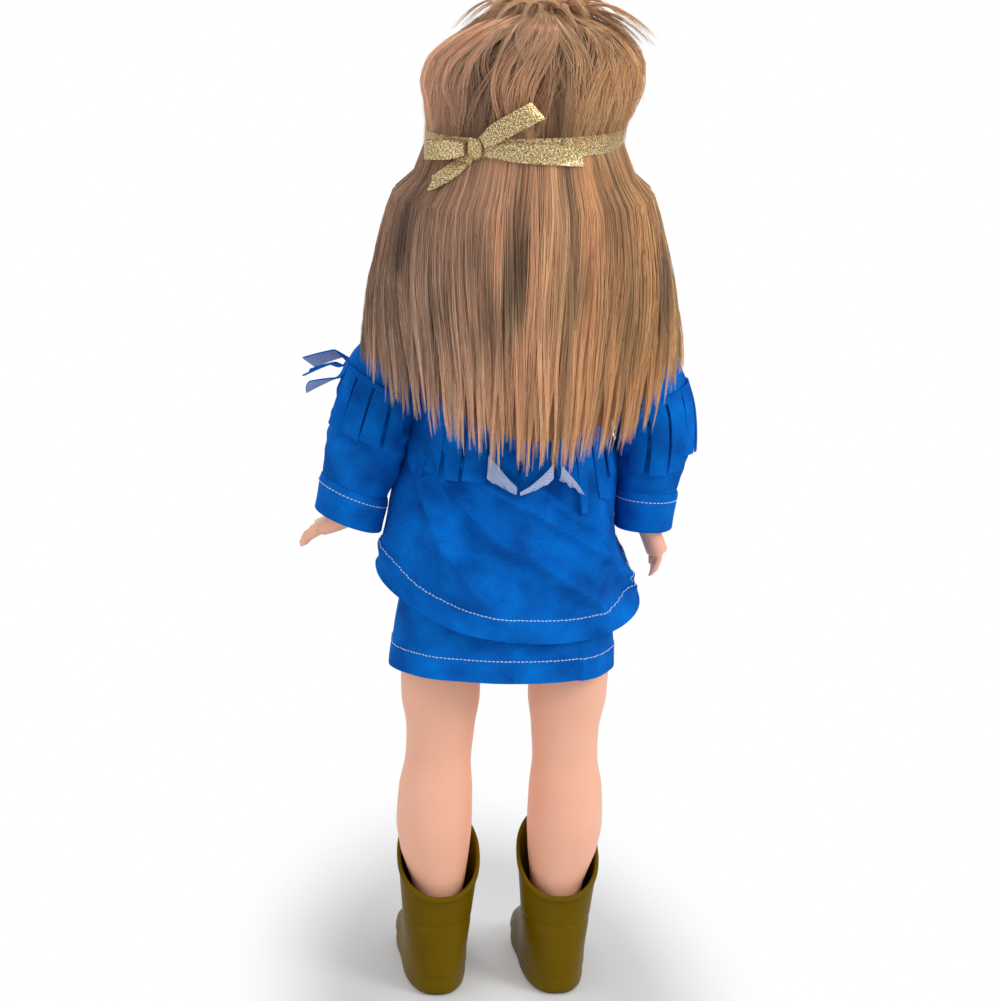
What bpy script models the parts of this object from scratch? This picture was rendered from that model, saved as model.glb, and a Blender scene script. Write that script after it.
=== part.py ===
# A child-built vinyl play doll, 55 cm tall, in a fringed denim suit and moulded boots.
# Metres, +Z up. The doll faces -Y, its left is +X, and the origin is on the floor under the middle
# of its whole extent, a little to the left of its boots' middle because the left arm is held out.

from math import copysign, cos, exp, pi, radians, sin

import bmesh
import bpy
from mathutils import Matrix, Vector

right_way = Vector((1, 0, 0))
back_way = Vector((0, 1, 0))
up_way = Vector((0, 0, 1))

# From the middle between the legs to the middle of the whole doll's extent, where the origin lies.
# Every length below counts from between the legs.
extent_out = 0.0088
extent_back = 0.0015

# Clearances
seat_gap = 0.0003
layer_gap = 0.0008
turning_gap = 0.0004
overrun = 0.004

# Torso
hip_height = 0.2245
pelvis_drop = 0.022
torso_length = 0.140
shoulder_rise = 0.026
torso_half_width = 0.050
torso_front = 0.034
torso_back = 0.036
torso_wall = 0.0022
pelvis_block_half_width = 0.0133
shoulder_seat_out = 0.0448
neck_radius = 0.0136
neck_shoulder_radius = 0.0160
neck_knob_radius = 0.0170
neck_knob_thickness = 0.0030
neck_length = 0.0130
plug_radius = 0.0081
plug_flange_radius = 0.0104
plug_flange_thickness = 0.0024

# Legs
hip_radius = 0.0260
hip_back_swing = radians(20)
thigh_half_width = 0.0226
thigh_depth = 0.0240

# Boots
boot_half_width = 0.0232
boot_out = 0.0345
foot_length = 0.092
boot_height = 0.0785
boot_wall = 0.0014
boot_insole = 0.0050
boot_rim_slope = 0.78
foot_ease = 0.0012

# Arms
arm_radius = 0.0150
arm_length = 0.130

# Head
head_height = 0.1326
head_half_width = 0.0432
head_front = 0.0415
head_back = 0.0500
head_wall = 0.0026
head_floor = 0.0030
eye_out = 0.0170
eye_share = 0.478
eye_depth = 0.0252
eyeball_radius = 0.0092
eyelid_thickness = 0.0006
eyelid_gap = 0.0003
eye_opening_half_width = 0.0074
eye_opening_rise = 0.0053
eye_opening_drop = 0.0045
lash_length = 0.0018
lash_half_width = 0.0045
lash_thickness = 0.0005
rocker_radius = 0.0015
rocker_stem_length = 0.0150
weight_half_width = 0.0060
weight_radius = 0.0042

# Hair
crown_rise = 0.0190
crown_side = 0.0148
crown_rear = 0.0110
crown_brow = 0.0085
crown_wall_ease = 0.0012
hair_tie_height = 0.0835
hair_tie_slope = 0.143
curtain_length = 0.172
curtain_half_width = 0.0890
curtain_depth = 0.0570
curtain_thickness = 0.0170
curtain_lock_drop = 0.0050
bangs_length = 0.0120
bangs_half_width = 0.0290
bangs_thickness = 0.0022

# Ribbon
ribbon_width = 0.0100
ribbon_thickness = 0.0006
ribbon_ease = 0.0010
knot_radius = 0.0042
bow_out = 0.0330
loop_length = 0.0330
loop_height = 0.0095
short_tail_length = 0.0240
long_tail_length = 0.0560

# Clothes
cloth_thickness = 0.0012
skirt_ease = 0.0145
skirt_hem_drop = 0.0300
waist_share = 0.4229
waistband_width = 0.0100
waistband_thickness = 0.0020
waist_ease = 0.0014
jacket_ease = 0.0125
jacket_hem_drop = 0.0070
jacket_front_hem_rise = 0.0295
jacket_flare = 0.0125
armhole_radius = 0.0196
placket_gap = 0.0006
collar_rise = 0.0065
collar_fold = 0.0130
collar_radius = 0.0215
sleeve_radius = 0.0190
cuff_thickness = 0.0022
snap_radius = 0.0034
snap_thickness = 0.0018
fringe_thickness = 0.0008
fringe_slit = 0.0006
fringe_seam_drop = 0.0180
fringe_length = 0.0400
fringe_band = 0.0040
fringe_lift = 0.0060
fringe_strip_width = 0.0100
brief_thickness = 0.0008

# Sides of the rings that the lofts run through
body_sides = 24
limb_sides = 16
boot_sides = 22
head_sides = 32
hair_sides = 28
skirt_sides = 30
torso_rows = 14
brief_rows = 6

# Heights and places that follow from the sizes
to_origin = Vector((-extent_out, -extent_back, 0))
pelvis_bottom = hip_height - pelvis_drop
shoulder_height = hip_height + torso_length
neck_base = shoulder_height + shoulder_rise
body_height = neck_base - pelvis_bottom
head_bottom = neck_base + neck_length + turning_gap
head_inner_floor = head_bottom + head_floor
eye_height = head_bottom + eye_share * head_height
hip_seat_out = pelvis_block_half_width + turning_gap
shoulder_start = shoulder_seat_out + turning_gap
insole_height = boot_insole + seat_gap
eyelid_inner = eyeball_radius + eyelid_gap
eyelid_outer = eyelid_inner + eyelid_thickness
socket_radius = eyelid_outer + turning_gap
hair_top = head_bottom + head_height + crown_rise
tie_height = head_bottom + hair_tie_height
skirt_hem_height = hip_height - skirt_hem_drop
skirt_top_height = pelvis_bottom + waist_share * body_height
waistband_bottom = skirt_top_height + seat_gap
jacket_hem_height = hip_height - jacket_hem_drop
jacket_front_hem_height = hip_height + jacket_front_hem_rise
fringe_seam_height = shoulder_height - fringe_seam_drop

# Torso: height, half width, front and back, as shares
torso_shares = (
    (0.00, 0.36, 0.45, 0.50),
    (0.03, 0.62, 0.70, 0.78),
    (0.12, 0.92, 0.92, 0.98),
    (0.23, 1.00, 0.97, 1.00),
    (0.35, 0.91, 0.91, 0.84),
    (0.47, 0.75, 0.79, 0.67),
    (0.61, 0.81, 0.88, 0.72),
    (0.74, 0.90, 1.00, 0.80),
    (0.86, 0.92, 0.94, 0.80),
    (0.93, 0.89, 0.76, 0.68),
    (0.97, 0.66, 0.58, 0.55),
    (1.00, 0.36, 0.50, 0.48),
)

# Head: height, half width, front and back, as shares
head_shares = (
    (0.00, 0.50, 0.50, 0.46),
    (0.02, 0.53, 0.53, 0.50),
    (0.05, 0.60, 0.72, 0.53),
    (0.09, 0.68, 0.94, 0.61),
    (0.14, 0.78, 1.00, 0.72),
    (0.20, 0.87, 1.00, 0.82),
    (0.28, 0.94, 0.99, 0.90),
    (0.37, 0.98, 0.98, 0.96),
    (0.46, 0.99, 0.98, 0.98),
    (0.55, 1.00, 1.00, 1.00),
    (0.66, 0.99, 1.03, 1.00),
    (0.76, 0.95, 1.01, 0.96),
    (0.85, 0.85, 0.89, 0.86),
    (0.925, 0.66, 0.68, 0.68),
    (0.975, 0.40, 0.41, 0.44),
    (1.00, 0.12, 0.13, 0.16),
)

# Face: sideways place, height, sideways spread, upright spread and push, as shares of the head
face_shares = (
    (0.00, 0.375, 0.10, 0.030, 0.150),
    (0.00, 0.430, 0.08, 0.045, 0.060),
    (0.00, 0.278, 0.17, 0.016, 0.060),
    (0.00, 0.248, 0.13, 0.016, 0.055),
    (0.00, 0.110, 0.22, 0.050, 0.070),
    (0.39, 0.478, 0.20, 0.052, -0.085),
    (-0.39, 0.478, 0.20, 0.052, -0.085),
    (0.50, 0.335, 0.24, 0.080, 0.050),
    (-0.50, 0.335, 0.24, 0.080, 0.050),
)

# Hair over the crown: height above its lower edge, half width, front and back, as shares
crown_shares = (
    (0.00, 0.88, 0.96, 0.93),
    (0.19, 0.885, 0.965, 0.935),
    (0.30, 0.95, 0.995, 0.985),
    (0.45, 1.00, 1.00, 1.00),
    (0.62, 0.98, 0.94, 0.97),
    (0.80, 0.80, 0.78, 0.80),
    (0.92, 0.52, 0.52, 0.55),
    (1.00, 0.16, 0.16, 0.18),
)

# Long hair: fall below the tie, half width, depth, middle's set back, wrap and thickness, as shares
curtain_shares = (
    (0.00, 0.590, 1.00, 0.00, 1.00, 0.42),
    (0.05, 0.640, 1.00, 0.02, 1.00, 0.50),
    (0.11, 0.770, 0.99, 0.06, 0.98, 0.66),
    (0.28, 0.870, 0.93, 0.18, 0.91, 0.85),
    (0.46, 0.945, 0.80, 0.34, 0.80, 1.00),
    (0.60, 0.985, 0.70, 0.44, 0.71, 1.00),
    (0.75, 1.000, 0.66, 0.47, 0.66, 0.90),
    (0.90, 0.965, 0.65, 0.47, 0.63, 0.66),
    (1.00, 0.940, 0.65, 0.47, 0.62, 0.40),
)

# Lower edge of the long hair from the doll's right to its left, as shares of its fall
curtain_edge_shares = (
    (-1.00, 0.68),
    (-0.80, 0.74),
    (-0.55, 0.88),
    (-0.30, 0.965),
    (-0.05, 1.00),
    (0.15, 0.96),
    (0.40, 0.87),
    (0.62, 0.80),
    (0.82, 0.72),
    (1.00, 0.66),
)

# Leg: height, half width, front, back and sideways place, as shares
leg_shares = (
    (0.36, 0.870, 0.69, 0.90, 1.020),
    (0.44, 0.955, 0.73, 1.00, 1.058),
    (0.53, 0.925, 0.77, 0.92, 1.044),
    (0.615, 0.825, 0.79, 0.75, 1.000),
    (0.69, 0.855, 0.83, 0.81, 0.970),
    (0.78, 0.985, 0.96, 0.94, 0.990),
    (0.88, 1.000, 1.00, 1.00, 1.010),
)

# Boot, outside: height, half width, front, back, middle's place and rim slope, as shares
boot_shares = (
    (0.000, 0.75, 0.485, 0.485, -0.230, 0.00),
    (0.050, 0.80, 0.505, 0.512, -0.230, 0.00),
    (0.150, 0.80, 0.505, 0.515, -0.228, 0.00),
    (0.165, 0.82, 0.510, 0.522, -0.228, 0.00),
    (0.250, 0.81, 0.475, 0.494, -0.196, 0.00),
    (0.360, 0.82, 0.392, 0.406, -0.120, 0.00),
    (0.470, 0.84, 0.318, 0.318, -0.044, 0.00),
    (0.580, 0.87, 0.276, 0.266, -0.005, 0.00),
    (0.690, 0.905, 0.264, 0.257, 0.000, 0.19),
    (0.790, 0.94, 0.262, 0.257, 0.000, 0.45),
    (0.890, 0.97, 0.263, 0.261, 0.000, 0.72),
    (1.000, 1.00, 0.265, 0.265, 0.000, 1.00),
)

# Foot inside the boot: height, and what it is narrower than the boot's bore in foot eases, as shares
foot_shares = (
    (0.80, 4.2),
    (0.64, 4.6),
    (0.47, 4.0),
    (0.36, 2.6),
    (0.25, 1.8),
    (0.15, 1.3),
    (0.10, 1.3),
)

# Arms below the shoulder ball: way out, ahead, down, turn, thickness and breadth, as shares
left_arm_shares = (
    (0.205, 0.000, 0.170, 0.73, 0.81, 0.83),
    (0.240, -0.015, 0.275, 0.755, 0.75, 0.77),
    (0.270, -0.020, 0.375, 0.78, 0.71, 0.73),
    (0.298, -0.008, 0.475, 0.79, 0.69, 0.71),
    (0.325, 0.023, 0.575, 0.77, 0.65, 0.68),
    (0.350, 0.046, 0.660, 0.71, 0.56, 0.61),
    (0.373, 0.062, 0.710, 0.64, 0.46, 0.54),
    (0.410, 0.085, 0.745, 0.50, 0.38, 0.60),
    (0.455, 0.110, 0.780, 0.45, 0.34, 0.64),
    (0.492, 0.130, 0.808, 0.45, 0.31, 0.60),
    (0.530, 0.148, 0.835, 0.45, 0.27, 0.53),
    (0.556, 0.160, 0.853, 0.45, 0.17, 0.38),
)
right_arm_shares = (
    (0.205, 0.000, 0.170, 0.73, 0.81, 0.83),
    (0.232, -0.015, 0.275, 0.80, 0.75, 0.77),
    (0.247, -0.020, 0.375, 0.89, 0.71, 0.73),
    (0.249, -0.008, 0.475, 0.97, 0.69, 0.71),
    (0.246, 0.015, 0.575, 1.00, 0.65, 0.68),
    (0.250, 0.031, 0.665, 0.96, 0.56, 0.61),
    (0.260, 0.042, 0.715, 0.90, 0.46, 0.54),
    (0.276, 0.055, 0.765, 0.85, 0.38, 0.60),
    (0.293, 0.072, 0.822, 0.83, 0.34, 0.64),
    (0.307, 0.086, 0.868, 0.83, 0.31, 0.60),
    (0.319, 0.100, 0.912, 0.83, 0.27, 0.53),
    (0.328, 0.110, 0.943, 0.83, 0.17, 0.38),
)

# Sleeves past the armhole: length along, way out, ahead, down, turn and radius, as shares
left_sleeve_shares = (
    (0.000, 0.037, 0.000, 0.000, 0.00, 0.985),
    (0.040, 0.062, 0.000, 0.000, 0.00, 1.000),
    (0.140, 0.139, 0.000, 0.011, 0.28, 1.050),
    (0.260, 0.193, 0.000, 0.048, 0.56, 1.110),
    (0.400, 0.223, -0.005, 0.127, 0.72, 1.130),
    (0.520, 0.248, -0.012, 0.215, 0.755, 1.150),
    (0.640, 0.272, -0.015, 0.315, 0.77, 1.150),
    (0.760, 0.296, -0.005, 0.415, 0.77, 1.120),
    (0.880, 0.316, 0.010, 0.515, 0.765, 1.030),
    (0.905, 0.321, 0.014, 0.545, 0.765, 1.010),
    (1.000, 0.347, 0.030, 0.696, 0.785, 1.000),
)
right_sleeve_shares = (
    (0.000, 0.037, 0.000, 0.000, 0.00, 0.985),
    (0.040, 0.062, 0.000, 0.000, 0.00, 1.000),
    (0.140, 0.139, 0.000, 0.011, 0.28, 1.050),
    (0.260, 0.193, 0.000, 0.048, 0.56, 1.110),
    (0.400, 0.224, -0.005, 0.127, 0.74, 1.160),
    (0.520, 0.245, -0.012, 0.215, 0.82, 1.160),
    (0.640, 0.251, -0.015, 0.315, 0.91, 1.120),
    (0.760, 0.246, -0.005, 0.415, 1.00, 1.060),
    (0.880, 0.239, 0.008, 0.515, 1.03, 0.920),
    (0.905, 0.237, 0.012, 0.545, 1.03, 0.885),
    (1.000, 0.232, 0.025, 0.715, 1.02, 0.805),
)

# Skirt: height, and how far its half width, front and back have gone from the hem's to the waist's
skirt_shares = (
    (0.00, 0.000, 0.00, 0.00),
    (0.20, 0.095, 0.10, 0.045),
    (0.42, 0.243, 0.20, 0.12),
    (0.65, 0.405, 0.35, 0.27),
    (0.85, 0.649, 0.75, 0.66),
    (1.00, 1.000, 1.00, 1.00),
)

# Jacket: height, half width, front and back, as shares
jacket_shares = (
    (0.00, 0.980, 0.93, 1.00),
    (0.15, 0.985, 0.92, 1.00),
    (0.28, 0.955, 0.89, 0.96),
    (0.42, 0.890, 0.85, 0.88),
    (0.56, 0.840, 0.84, 0.80),
    (0.70, 0.810, 0.84, 0.755),
    (0.84, 0.800, 0.77, 0.72),
    (0.92, 0.785, 0.64, 0.62),
    (0.965, 0.680, 0.52, 0.52),
    (1.00, 0.350, 0.41, 0.42),
)

# Jacket's lower edge round from the front opening, as shares of the drop from front to back
jacket_hem_shares = (
    (-1.00, 0.00),
    (-0.67, 0.00),
    (-0.53, 0.50),
    (-0.30, 0.88),
    (-0.10, 1.00),
    (0.10, 0.88),
    (0.30, 0.54),
    (0.52, 0.08),
    (0.72, 0.04),
    (1.00, 0.00),
)


# Tables


def between(rows, at):
    # The row of a table at a place between its rows, on a smooth curve that doesn't overshoot.
    if at <= rows[0][0]:
        return rows[0][1:]
    if at >= rows[-1][0]:
        return rows[-1][1:]
    last = len(rows) - 1
    i = max(k for k in range(last) if rows[k][0] <= at)

    def slope(k, column):
        if k in (0, last):
            near = min(k, last - 1)
            return (rows[near + 1][column] - rows[near][column]) / (rows[near + 1][0] - rows[near][0])
        before = (rows[k][column] - rows[k - 1][column]) / (rows[k][0] - rows[k - 1][0])
        after = (rows[k + 1][column] - rows[k][column]) / (rows[k + 1][0] - rows[k][0])
        return 0 if before * after <= 0 else 2 * before * after / (before + after)

    span = rows[i + 1][0] - rows[i][0]
    t = (at - rows[i][0]) / span
    values = []
    for column in range(1, len(rows[0])):
        start, end = rows[i][column], rows[i + 1][column]
        rise = (
            (2 * t**3 - 3 * t**2 + 1) * start
            + (t**3 - 2 * t**2 + t) * span * slope(i, column)
            + (3 * t**2 - 2 * t**3) * end
            + (t**3 - t**2) * span * slope(i + 1, column)
        )
        values.append(rise)
    return tuple(values)


def steps(start, end, count):
    return [start + (end - start) * k / (count - 1) for k in range(count)]


# Rings and the solids that run through them


def rounded(value, power):
    return copysign(abs(value) ** (2 / power), value)


def ring(centre, across, along, half_width, front, back, sides, power=2.2):
    points = []
    for k in range(sides):
        angle = 2 * pi * k / sides
        out = rounded(cos(angle), power) * half_width
        reach = rounded(sin(angle), power) * (back if sin(angle) > 0 else front)
        points.append(centre + across * out + along * reach)
    return points


def level(height, sizes, sides, power=2.2, middle=0, out=0, slope=0, side=1):
    # A level ring, or one that falls towards the back by its slope.
    points = ring(Vector((side * out, middle, height)), side * right_way, back_way, *sizes, sides, power)
    for point in points:
        point.z -= slope * point.y
    return points


def tilted(side, out, back, height, turn, thick, broad, sides, power=2.0):
    # A ring round a limb that leaves the body sideways and turns down.
    across = Vector((side * sin(turn), 0, cos(turn)))
    return ring(Vector((side * out, back, height)), across, back_way, thick, broad, broad, sides, power)


def material(name, colour, roughness, metallic=0.0):
    made = bpy.data.materials.get(name) or bpy.data.materials.new(name)
    made.use_nodes = True
    shader = made.node_tree.nodes["Principled BSDF"]
    shader.inputs["Base Color"].default_value = (*colour, 1)
    shader.inputs["Roughness"].default_value = roughness
    shader.inputs["Metallic"].default_value = metallic
    made.diffuse_color = (*colour, 1)
    return made


def add(name, bm, finish=None):
    # Turns the mesh being built into an object, with its faces pointing out.
    bmesh.ops.translate(bm, verts=bm.verts, vec=to_origin)
    bmesh.ops.recalc_face_normals(bm, faces=bm.faces)
    if bm.calc_volume(signed=True) < 0:
        bmesh.ops.reverse_faces(bm, faces=bm.faces)
    mesh = bpy.data.meshes.new(name)
    bm.to_mesh(mesh)
    bm.free()
    mesh.shade_smooth()
    mesh.set_sharp_from_angle(angle=radians(40))
    obj = bpy.data.objects.new(name, mesh)
    bpy.context.scene.collection.objects.link(obj)
    if finish:
        mesh.materials.append(finish)
    return obj


def loft(name, rings, finish=None, endless=False):
    # A skin through rings of as many points, with a fan over each end unless it runs back into itself.
    bm = bmesh.new()
    rows = [[bm.verts.new(point) for point in points] for points in rings]
    pairs = list(zip(rows, rows[1:]))
    if endless:
        pairs.append((rows[-1], rows[0]))
    for lower, upper in pairs:
        for k in range(len(lower)):
            n = (k + 1) % len(lower)
            bm.faces.new((lower[k], lower[n], upper[n], upper[k]))
    if not endless:
        for row in (rows[0], rows[-1]):
            middle = bm.verts.new(sum((v.co for v in row), Vector()) / len(row))
            for k in range(len(row)):
                bm.faces.new((row[k], row[(k + 1) % len(row)], middle))
    return add(name, bm, finish)


def panel(name, outer, inner, finish=None, kept=None):
    # A sheet with thickness between two grids of points, of which some cells can be left out.
    bm = bmesh.new()
    rows, columns = len(outer), len(outer[0])
    cells = {
        (r, c) for r in range(rows - 1) for c in range(columns - 1) if kept is None or kept(r, c)
    }
    used = {(r + i, c + j) for r, c in cells for i in (0, 1) for j in (0, 1)}
    top = {at: bm.verts.new(outer[at[0]][at[1]]) for at in used}
    under = {at: bm.verts.new(inner[at[0]][at[1]]) for at in used}
    for r, c in cells:
        corners = [(r, c), (r, c + 1), (r + 1, c + 1), (r + 1, c)]
        bm.faces.new([top[at] for at in corners])
        bm.faces.new([under[at] for at in reversed(corners)])
        beside = ((r - 1, c), (r, c + 1), (r + 1, c), (r, c - 1))
        for k, neighbour in enumerate(beside):
            if neighbour not in cells:
                start, end = corners[k], corners[(k + 1) % 4]
                bm.faces.new((top[end], top[start], under[start], under[end]))
    return add(name, bm, finish)


def prism(name, outline, start, end):
    # An outline in the upright plane that faces sideways, extruded sideways.
    bm = bmesh.new()
    near = [bm.verts.new((start, y, z)) for y, z in outline]
    face = bm.faces.new(near)
    grown = bmesh.ops.extrude_face_region(bm, geom=[face])
    moved = [v for v in grown["geom"] if isinstance(v, bmesh.types.BMVert)]
    bmesh.ops.translate(bm, verts=moved, vec=(end - start, 0, 0))
    return add(name, bm)


def sideways_rod(name, start, end, height, radius, back=0, finish=None, sides=limb_sides):
    # A round rod along X.
    rings = [
        [Vector((x, back + radius * cos(2 * pi * k / sides), height + radius * sin(2 * pi * k / sides)))
         for k in range(sides)]
        for x in (start, end)
    ]
    return loft(name, rings, finish)


def boolean(target, tool, operation="DIFFERENCE"):
    tool.hide_render = True
    tool.display_type = "WIRE"
    made = target.modifiers.new(tool.name, "BOOLEAN")
    made.operation = operation
    made.solver = "EXACT"
    made.object = tool


def axis_empty(name, place):
    empty = bpy.data.objects.new(name, None)
    empty.location = place + to_origin
    bpy.context.scene.collection.objects.link(empty)
    return empty


def hang(pieces, empty):
    # Parents pieces to the empty on their joint's axis without moving them.
    for piece in pieces:
        piece.parent = empty
        piece.matrix_parent_inverse = Matrix.Translation(-empty.location)


# Torso


def torso_section(height, inset=0):
    share = (height - pelvis_bottom) / body_height
    width, front, back = between(torso_shares, share)
    return (
        torso_half_width * width - inset,
        torso_front * front - inset,
        torso_back * back - inset,
    )


def hip_outline(radius):
    # The space that a hip needs: its own round, the thigh raised in front and the thigh swung back.
    reach = 2.4 * hip_radius
    arc = [radians(90) + (hip_back_swing - radians(90)) * k / 8 for k in range(9)]
    outline = [(radius * cos(a), hip_height + radius * sin(a)) for a in arc]
    y, z = outline[-1]
    outline.append((y + reach * sin(hip_back_swing), z - reach * cos(hip_back_swing)))
    outline.append((-reach, hip_height - reach))
    outline.append((-reach, hip_height + radius))
    return outline


def hip_cutters(name, start, radius):
    end = torso_half_width + overrun
    right = prism(name + "_right", hip_outline(radius), -end, -start)
    return prism(name + "_left", hip_outline(radius), start, end), right


def torso_heights():
    return steps(pelvis_bottom, neck_base, torso_rows)


def build_torso(vinyl):
    rings = [level(z, torso_section(z), body_sides, 2.4) for z in torso_heights()]
    neck_top = neck_base + neck_length
    knob_bottom = head_inner_floor + turning_gap
    neck = (
        (neck_base + 0.3 * neck_length, neck_shoulder_radius),
        (neck_top, neck_shoulder_radius),
        (neck_top, neck_radius),
        (knob_bottom, neck_radius),
        (knob_bottom, neck_knob_radius),
        (knob_bottom + 0.6 * neck_knob_thickness, neck_knob_radius),
        (knob_bottom + neck_knob_thickness, neck_radius),
    )
    rings += [level(z, (radius,) * 3, body_sides, 2) for z, radius in neck]
    torso = loft("torso", rings, vinyl)

    hollow_rings = []
    for z in steps(pelvis_bottom + torso_wall, neck_base - 2 * torso_wall, 9):
        middle = (pelvis_bottom + neck_base) / 2
        thicker = copysign(torso_wall, z - middle)
        hollow_rings.append(level(z, torso_section(z + thicker, torso_wall), limb_sides, 2.4))
    hollow = loft("torso_hollow", hollow_rings)
    for tool in hip_cutters("hip_wall", pelvis_block_half_width - torso_wall, hip_radius + turning_gap + torso_wall):
        boolean(hollow, tool)
    for tool in hip_cutters("hip_seat", pelvis_block_half_width, hip_radius + turning_gap):
        boolean(torso, tool)
    boolean(torso, hollow)

    hole = plug_radius + turning_gap
    inside = plug_flange_radius + turning_gap
    for side, word in ((1, "left"), (-1, "right")):
        relief_out = shoulder_seat_out - torso_wall
        spots = (
            (relief_out - plug_flange_thickness - 2 * turning_gap, inside),
            (relief_out, inside),
            (relief_out, hole),
            (shoulder_seat_out, hole),
            (shoulder_seat_out, arm_radius + turning_gap),
            (torso_half_width + overrun, arm_radius + turning_gap),
        )
        rings = [tilted(side, x, 0, shoulder_height, 0, r, r, body_sides) for x, r in spots]
        boolean(torso, loft("shoulder_socket_" + word, rings))
        hip_hole = sideways_rod(
            "hip_hole_" + word, side * (pelvis_block_half_width - 1.5 * torso_wall),
            side * (pelvis_block_half_width + overrun), hip_height, hole,
        )
        boolean(torso, hip_hole)
    return torso


# Limbs


def plug_rings(side, seat_out, height):
    # The flange inside the torso and the groove that its wall sits in, out to the seat.
    wall_inside = seat_out - turning_gap - torso_wall
    flange_out = wall_inside - turning_gap
    flange_in = flange_out - plug_flange_thickness
    spots = (
        (flange_in, plug_flange_radius),
        (flange_out, plug_flange_radius),
        (flange_out, plug_radius),
        (seat_out, plug_radius),
    )
    return [tilted(side, x, 0, height, 0, radius, radius, limb_sides) for x, radius in spots]


def fan_rings(side, pivot_out, pivot_height, rows):
    # Rings that turn from upright to level about a pivot at the limb's inner side.
    rings = []
    for turn, start, end, broad in rows:
        reach = (start + end) / 2
        rings.append(
            tilted(
                side, pivot_out + reach * sin(turn), 0, pivot_height + reach * cos(turn),
                turn, (end - start) / 2, broad, limb_sides,
            )
        )
    return rings


def build_arm(name, side, arm_shares, vinyl):
    radius = arm_radius
    rings = plug_rings(side, shoulder_start, shoulder_height)
    neat = 0.06 * radius
    rings.append(tilted(side, shoulder_start, 0, shoulder_height, 0, radius - neat, radius - neat, limb_sides))
    rings.append(tilted(side, shoulder_start + neat, 0, shoulder_height, 0, radius, radius, limb_sides))
    pivot_out = shoulder_start + 0.50 * radius
    rings += fan_rings(
        side, pivot_out, shoulder_height - radius,
        (
            (radians(0), 0.00 * radius, 2.00 * radius, 0.99 * radius),
            (radians(28), 0.05 * radius, 2.00 * radius, 0.97 * radius),
            (radians(52), 0.09 * radius, 1.90 * radius, 0.93 * radius),
        ),
    )
    for out, ahead, down, turn, thick, broad in arm_shares:
        rings.append(
            tilted(
                side, shoulder_start + out * arm_length, -ahead * arm_length,
                shoulder_height - down * arm_length, turn * radians(90),
                thick * arm_radius, broad * arm_radius, limb_sides, 2.1,
            )
        )
    hand_start = len(rings) - 5
    for row in rings[hand_start:]:
        groove_between_fingers(row)
    arm = loft(name, rings, vinyl)
    boolean(arm, build_thumb(name, side, arm_shares), "UNION")
    return arm


def groove_between_fingers(row):
    # Draws a ring round the hand in between the four fingers.
    middle = sum(row, Vector()) / len(row)
    half = max(abs(point.y - middle.y) for point in row)
    for point in row:
        across = (point.y - middle.y) / half
        narrow = 1 - 0.20 * (1 - cos(4 * pi * (across + 1))) / 2
        point.x = middle.x + (point.x - middle.x) * narrow
        point.z = middle.z + (point.z - middle.z) * narrow


def build_thumb(name, side, arm_shares):
    out, ahead, down, turn = arm_shares[-5][:4]
    start = Vector((side * (shoulder_start + out * arm_length), -ahead * arm_length,
                    shoulder_height - down * arm_length))
    way = Vector((side * cos(turn * radians(90)), -0.9, -sin(turn * radians(90)))).normalized()
    beside = way.cross(back_way).normalized()
    upper = way.cross(beside)
    rings = []
    for along, radius in ((0.00, 0.19), (0.30, 0.20), (0.62, 0.18), (0.80, 0.16), (0.88, 0.08)):
        size = radius * arm_radius
        rings.append(ring(start + way * along * arm_radius, beside, upper, size, size, size, 10, 2))
    return loft(name + "_thumb", rings)


def leg_ring(height, side):
    width, front, back, out = between(leg_shares, height / hip_height)
    sizes = (thigh_half_width * width, thigh_depth * front, thigh_depth * back)
    middle_out = hip_seat_out + out * thigh_half_width
    return level(height, sizes, limb_sides, 2.1, 0, middle_out, 0, side)


def boot_ring(share, side, inset=0):
    width, front, back, middle, slope = between(boot_shares, share)
    sizes = (
        boot_half_width * width - inset,
        foot_length * front - inset,
        foot_length * back - inset,
    )
    power = 2.5 if share < 0.5 else 2.2
    return level(
        boot_height * share, sizes, boot_sides, power,
        foot_length * middle, boot_out, boot_rim_slope * slope, side,
    )


def build_boot(name, side, pvc):
    outside = [boot_ring(row[0], side) for row in boot_shares]
    floor_share = boot_insole / boot_height
    inner_shares = [row[0] for row in boot_shares if row[0] > floor_share + 0.05]
    inside = [boot_ring(share, side, boot_wall) for share in reversed(inner_shares)]
    inside.append(boot_ring(floor_share, side, boot_wall))
    return loft(name, outside + inside, pvc)


def build_leg(name, side, vinyl):
    rings = plug_rings(side, hip_seat_out, hip_height)
    pivot_height = hip_height - hip_radius
    rings += fan_rings(
        side, hip_seat_out, pivot_height,
        (
            (radians(0), 0.00 * hip_radius, 2.00 * hip_radius, 1.00 * hip_radius),
            (radians(9), 0.02 * hip_radius, 2.00 * hip_radius, 0.99 * hip_radius),
            (radians(26), 0.04 * hip_radius, 2.08 * hip_radius, 0.97 * hip_radius),
            (radians(46), 0.06 * hip_radius, 2.05 * hip_radius, 0.95 * hip_radius),
            (radians(68), 0.07 * hip_radius, 1.86 * hip_radius, 0.93 * hip_radius),
        ),
    )
    for height in steps(hip_height * leg_shares[-1][0], hip_height * leg_shares[0][0], 10):
        rings.append(leg_ring(height, side))
    for share, ease_share in foot_shares:
        rings.append(foot_ring(share, side, ease_share * foot_ease))
    rings.append(foot_ring(insole_height / boot_height, side, 2 * foot_ease))
    return loft(name, rings, vinyl)


def foot_ring(share, side, ease):
    # A level ring of the foot, inside the boot's own wall.
    width, front, back, middle, _ = between(boot_shares, share)
    sizes = (
        boot_half_width * width - boot_wall - ease,
        foot_length * front - boot_wall - ease,
        foot_length * back - boot_wall - ease,
    )
    return level(boot_height * share, sizes, limb_sides, 2.2, foot_length * middle, boot_out, 0, side)


# Head


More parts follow.
